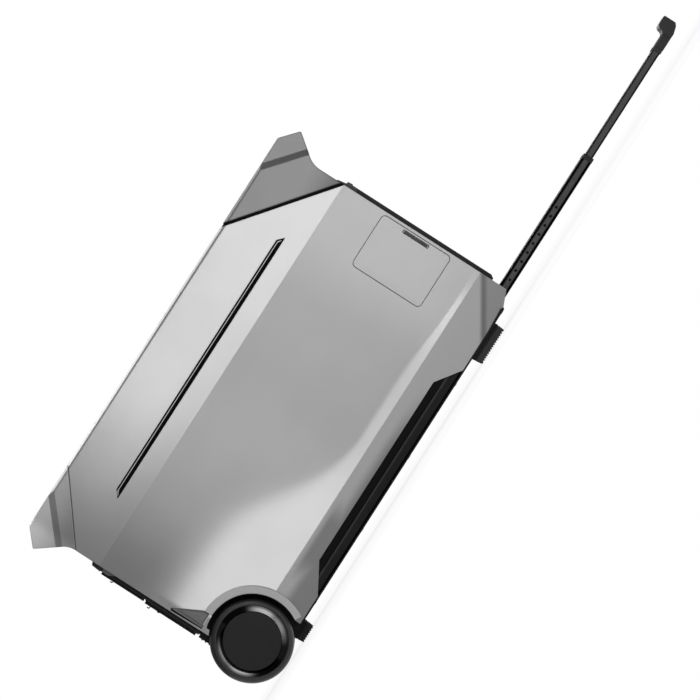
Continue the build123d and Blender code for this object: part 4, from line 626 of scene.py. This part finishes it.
# bushings on the outer tubes' open ends: a sleeve round the tube and a ring over its mouth
tube_half_y, tube_half_z, tube_corner, skin_gap = 12.0, 8.0, 4.2, 0.02
mouth = (10.0, 6.0, 3.0)
sleeve = (tube_half_y + skin_gap, tube_half_z + skin_gap, tube_corner)
for _, name in SIDES:
    tube_low, tube_high = span(f"{name}_outer_tube")
    mid_y, mid_z = (tube_low[1] + tube_high[1]) / 2, (tube_low[2] + tube_high[2]) / 2
    bands = []
    for start, stop, grow, hole in ((-5.0, 1.2, 0.35, sleeve), (1.2, 2.0, 0.1, mouth)):
        skin = (tube_half_y + grow, tube_half_z + grow, tube_corner + grow)
        loops = [[((tube_high[0] + start, mid_y + y, mid_z + z), (tube_high[0] + stop, mid_y + y, mid_z + z))
                  for y, z in rounded(*sizes)] for sizes in (skin, hole)]
        bands += ring_shapes(*loops)
    piece(f"tube_bushing_{name}", "handle_outer_stage", "trim_black", bands)

# bar gauge and open dial on the display
_, lens_high = span("display_lens")
mark_back, mark_face = lens_high[0] - 0.1, lens_high[0] + 0.12
bar_count, bar_start, bar_pitch, bar_wide, bar_foot, bar_head = 10, -40.0, 8.2, 5.6, 222.0, 230.0
dial_radii, dial_from, dial_to, dial_points, dial_z = (11.0, 9.2), 0.6, 5.4, 48, 247.0
bar_ys = [bar_start + bar_pitch * index for index in range(bar_count)]
dial = [[(y, dial_z + z) for y, z in circle(radius, dial_points, dial_from, dial_to, True)]
        for radius in dial_radii]
marks = [rectangle(y, bar_foot, y + bar_wide, bar_head) for y in bar_ys] + quads_between(*dial)
piece("display_gauge", "housing", "screen_line",
      [along(outline, mark_back, mark_face) for outline in marks])

# screws of the rear panel and of the underside
panel_face, panel_screw, tray_screw = REAR - 5.3, 2.4, 3.0
panel_places = [(y, z) for y in (-140.0, 140.0) for z in (140.0, 212.0, 284.0)]
panel_places += [(y, 56.0) for y in (-110.0, 0.0, 110.0)]
heads = [shape for y, z in panel_places for shape in screw((panel_face, y, z), X_AXIS, -1, panel_screw)]
piece("rear_panel_screws", "housing", "key_grey", heads)
tray_low, _ = span("base_tray")
tray_places = [(REAR + x, y) for x in (120.0, 240.0, 360.0, 480.0, 600.0) for y in (-138.0, 0.0, 138.0)]
heads = [shape for x, y in tray_places for shape in screw((x, y, tray_low[2]), Z_AXIS, -1, tray_screw)]
piece("underside_screws", "housing", "axle_steel", heads)

# ---------------------------------------------------------------- floor, light and camera, in metres
low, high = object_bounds()
middle = (low + high) / 2
FLOOR_SIZE = 8.0
WHITE = grey(1.0)


def studio_floor():
    """A pale floor that takes shadow near the body and glows white further out, as the camera sees it."""
    mesh = bpy.data.meshes.new("studio_floor")
    half = FLOOR_SIZE / 2
    mesh.from_pydata([(x, y, 0.0) for x, y in rectangle(-half, -half, half, half)], [], [(0, 1, 2, 3)])
    floor = bpy.data.objects.new("studio_floor", mesh)
    bpy.context.scene.collection.objects.link(floor)
    graph = Graph("studio_floor")
    colour = graph.blend(graph.noise(6.0, 3.0, 0.6), grey(0.80), grey(0.84))
    graph.feed(graph.shader.inputs["Base Color"], colour)
    graph.feed(graph.shader.inputs["Roughness"], 0.9)
    path = graph.node("ShaderNodeLightPath")
    glow = graph.node("ShaderNodeEmission", {"Color": WHITE, "Strength": 1.0})
    mirrored = graph.math("MAXIMUM", path.outputs["Is Glossy Ray"], path.outputs["Is Transmission Ray"])
    seen = graph.math("MAXIMUM", path.outputs["Is Camera Ray"], mirrored)
    reach = graph.node("ShaderNodeVectorMath", {0: graph.coords}, operation="LENGTH").outputs["Value"]
    share = graph.product(seen, graph.smooth(reach, 0.84, 1.0, 0.5, 2.2))
    mix = graph.node("ShaderNodeMixShader", {0: share, 1: graph.shader.outputs[0], 2: glow.outputs[0]})
    graph.tree.links.new(mix.outputs[0], graph.out.inputs[0])
    mesh.materials.append(graph.material)
    return floor


floor = studio_floor()


def studio_world(level):
    """White to the camera and through glass, and a dimmer white as light."""
    world = bpy.data.worlds.new("studio")
    bpy.context.scene.world = world
    world.use_nodes = True
    tree = world.node_tree
    tree.nodes.clear()
    mix = tree.nodes.new("ShaderNodeMixShader")
    for index, strength in ((1, level), (2, 1.0)):
        background = tree.nodes.new("ShaderNodeBackground")
        background.inputs["Color"].default_value = WHITE
        background.inputs["Strength"].default_value = strength
        tree.links.new(background.outputs[0], mix.inputs[index])
    path = tree.nodes.new("ShaderNodeLightPath")
    either = tree.nodes.new("ShaderNodeMath")
    either.operation = "MAXIMUM"
    tree.links.new(path.outputs["Is Camera Ray"], either.inputs[0])
    tree.links.new(path.outputs["Is Transmission Ray"], either.inputs[1])
    tree.links.new(either.outputs[0], mix.inputs[0])
    tree.links.new(mix.outputs[0], tree.nodes.new("ShaderNodeOutputWorld").inputs[0])


studio_world(level=0.22)


def lamp(name, place, target, size, watts):
    data = bpy.data.lights.new(name, "AREA")
    data.shape = "RECTANGLE"
    data.size, data.size_y = size
    data.energy = watts
    thing = bpy.data.objects.new(name, data)
    bpy.context.scene.collection.objects.link(thing)
    thing.location = place
    thing.rotation_euler = (Vector(target) - Vector(place)).to_track_quat("-Z", "Y").to_euler()
    thing.visible_camera = False


lamp("front_top_light", (0.20, -1.20, 0.74), (0.16, -0.16, 0.35), (1.06, 0.4), 3.6)
lamp("side_light", (0.20, -1.25, 0.22), (0.17, -0.16, 0.22), (1.06, 0.4), 1.55)
lamp("high_light", (0.1, 0.2, 2.4), middle, (2.2, 1.6), 26.0)
lamp("far_side_light", (0.3, 2.4, 1.2), middle, (2.2, 1.4), 26.0)

# a long lens square on to the right side, rolled so that the floor line climbs to the right
LENS_MM, SENSOR_MM = 1000.0, 36.0
FRAME_WIDTH = 0.974
ROLL = math.radians(57.3)
AIM = Vector((-0.0784, -0.16, 0.1656))
right = Vector((math.cos(ROLL), 0.0, -math.sin(ROLL)))
up = Vector((math.sin(ROLL), 0.0, math.cos(ROLL)))
back = Vector((0.0, -1.0, 0.0))
camera_data = bpy.data.cameras.new("camera")
camera_data.type = "PERSP"
camera_data.lens = LENS_MM
camera_data.sensor_width = SENSOR_MM
camera_data.clip_start, camera_data.clip_end = 0.1, 100.0
camera = bpy.data.objects.new("camera", camera_data)
bpy.context.scene.collection.objects.link(camera)
bpy.context.scene.camera = camera
camera.rotation_mode = "QUATERNION"
camera.location = AIM + back * FRAME_WIDTH * LENS_MM / SENSOR_MM
camera.rotation_quaternion = Matrix((right, up, back)).transposed().to_quaternion()

bpy.context.scene.view_settings.view_transform = "Standard"
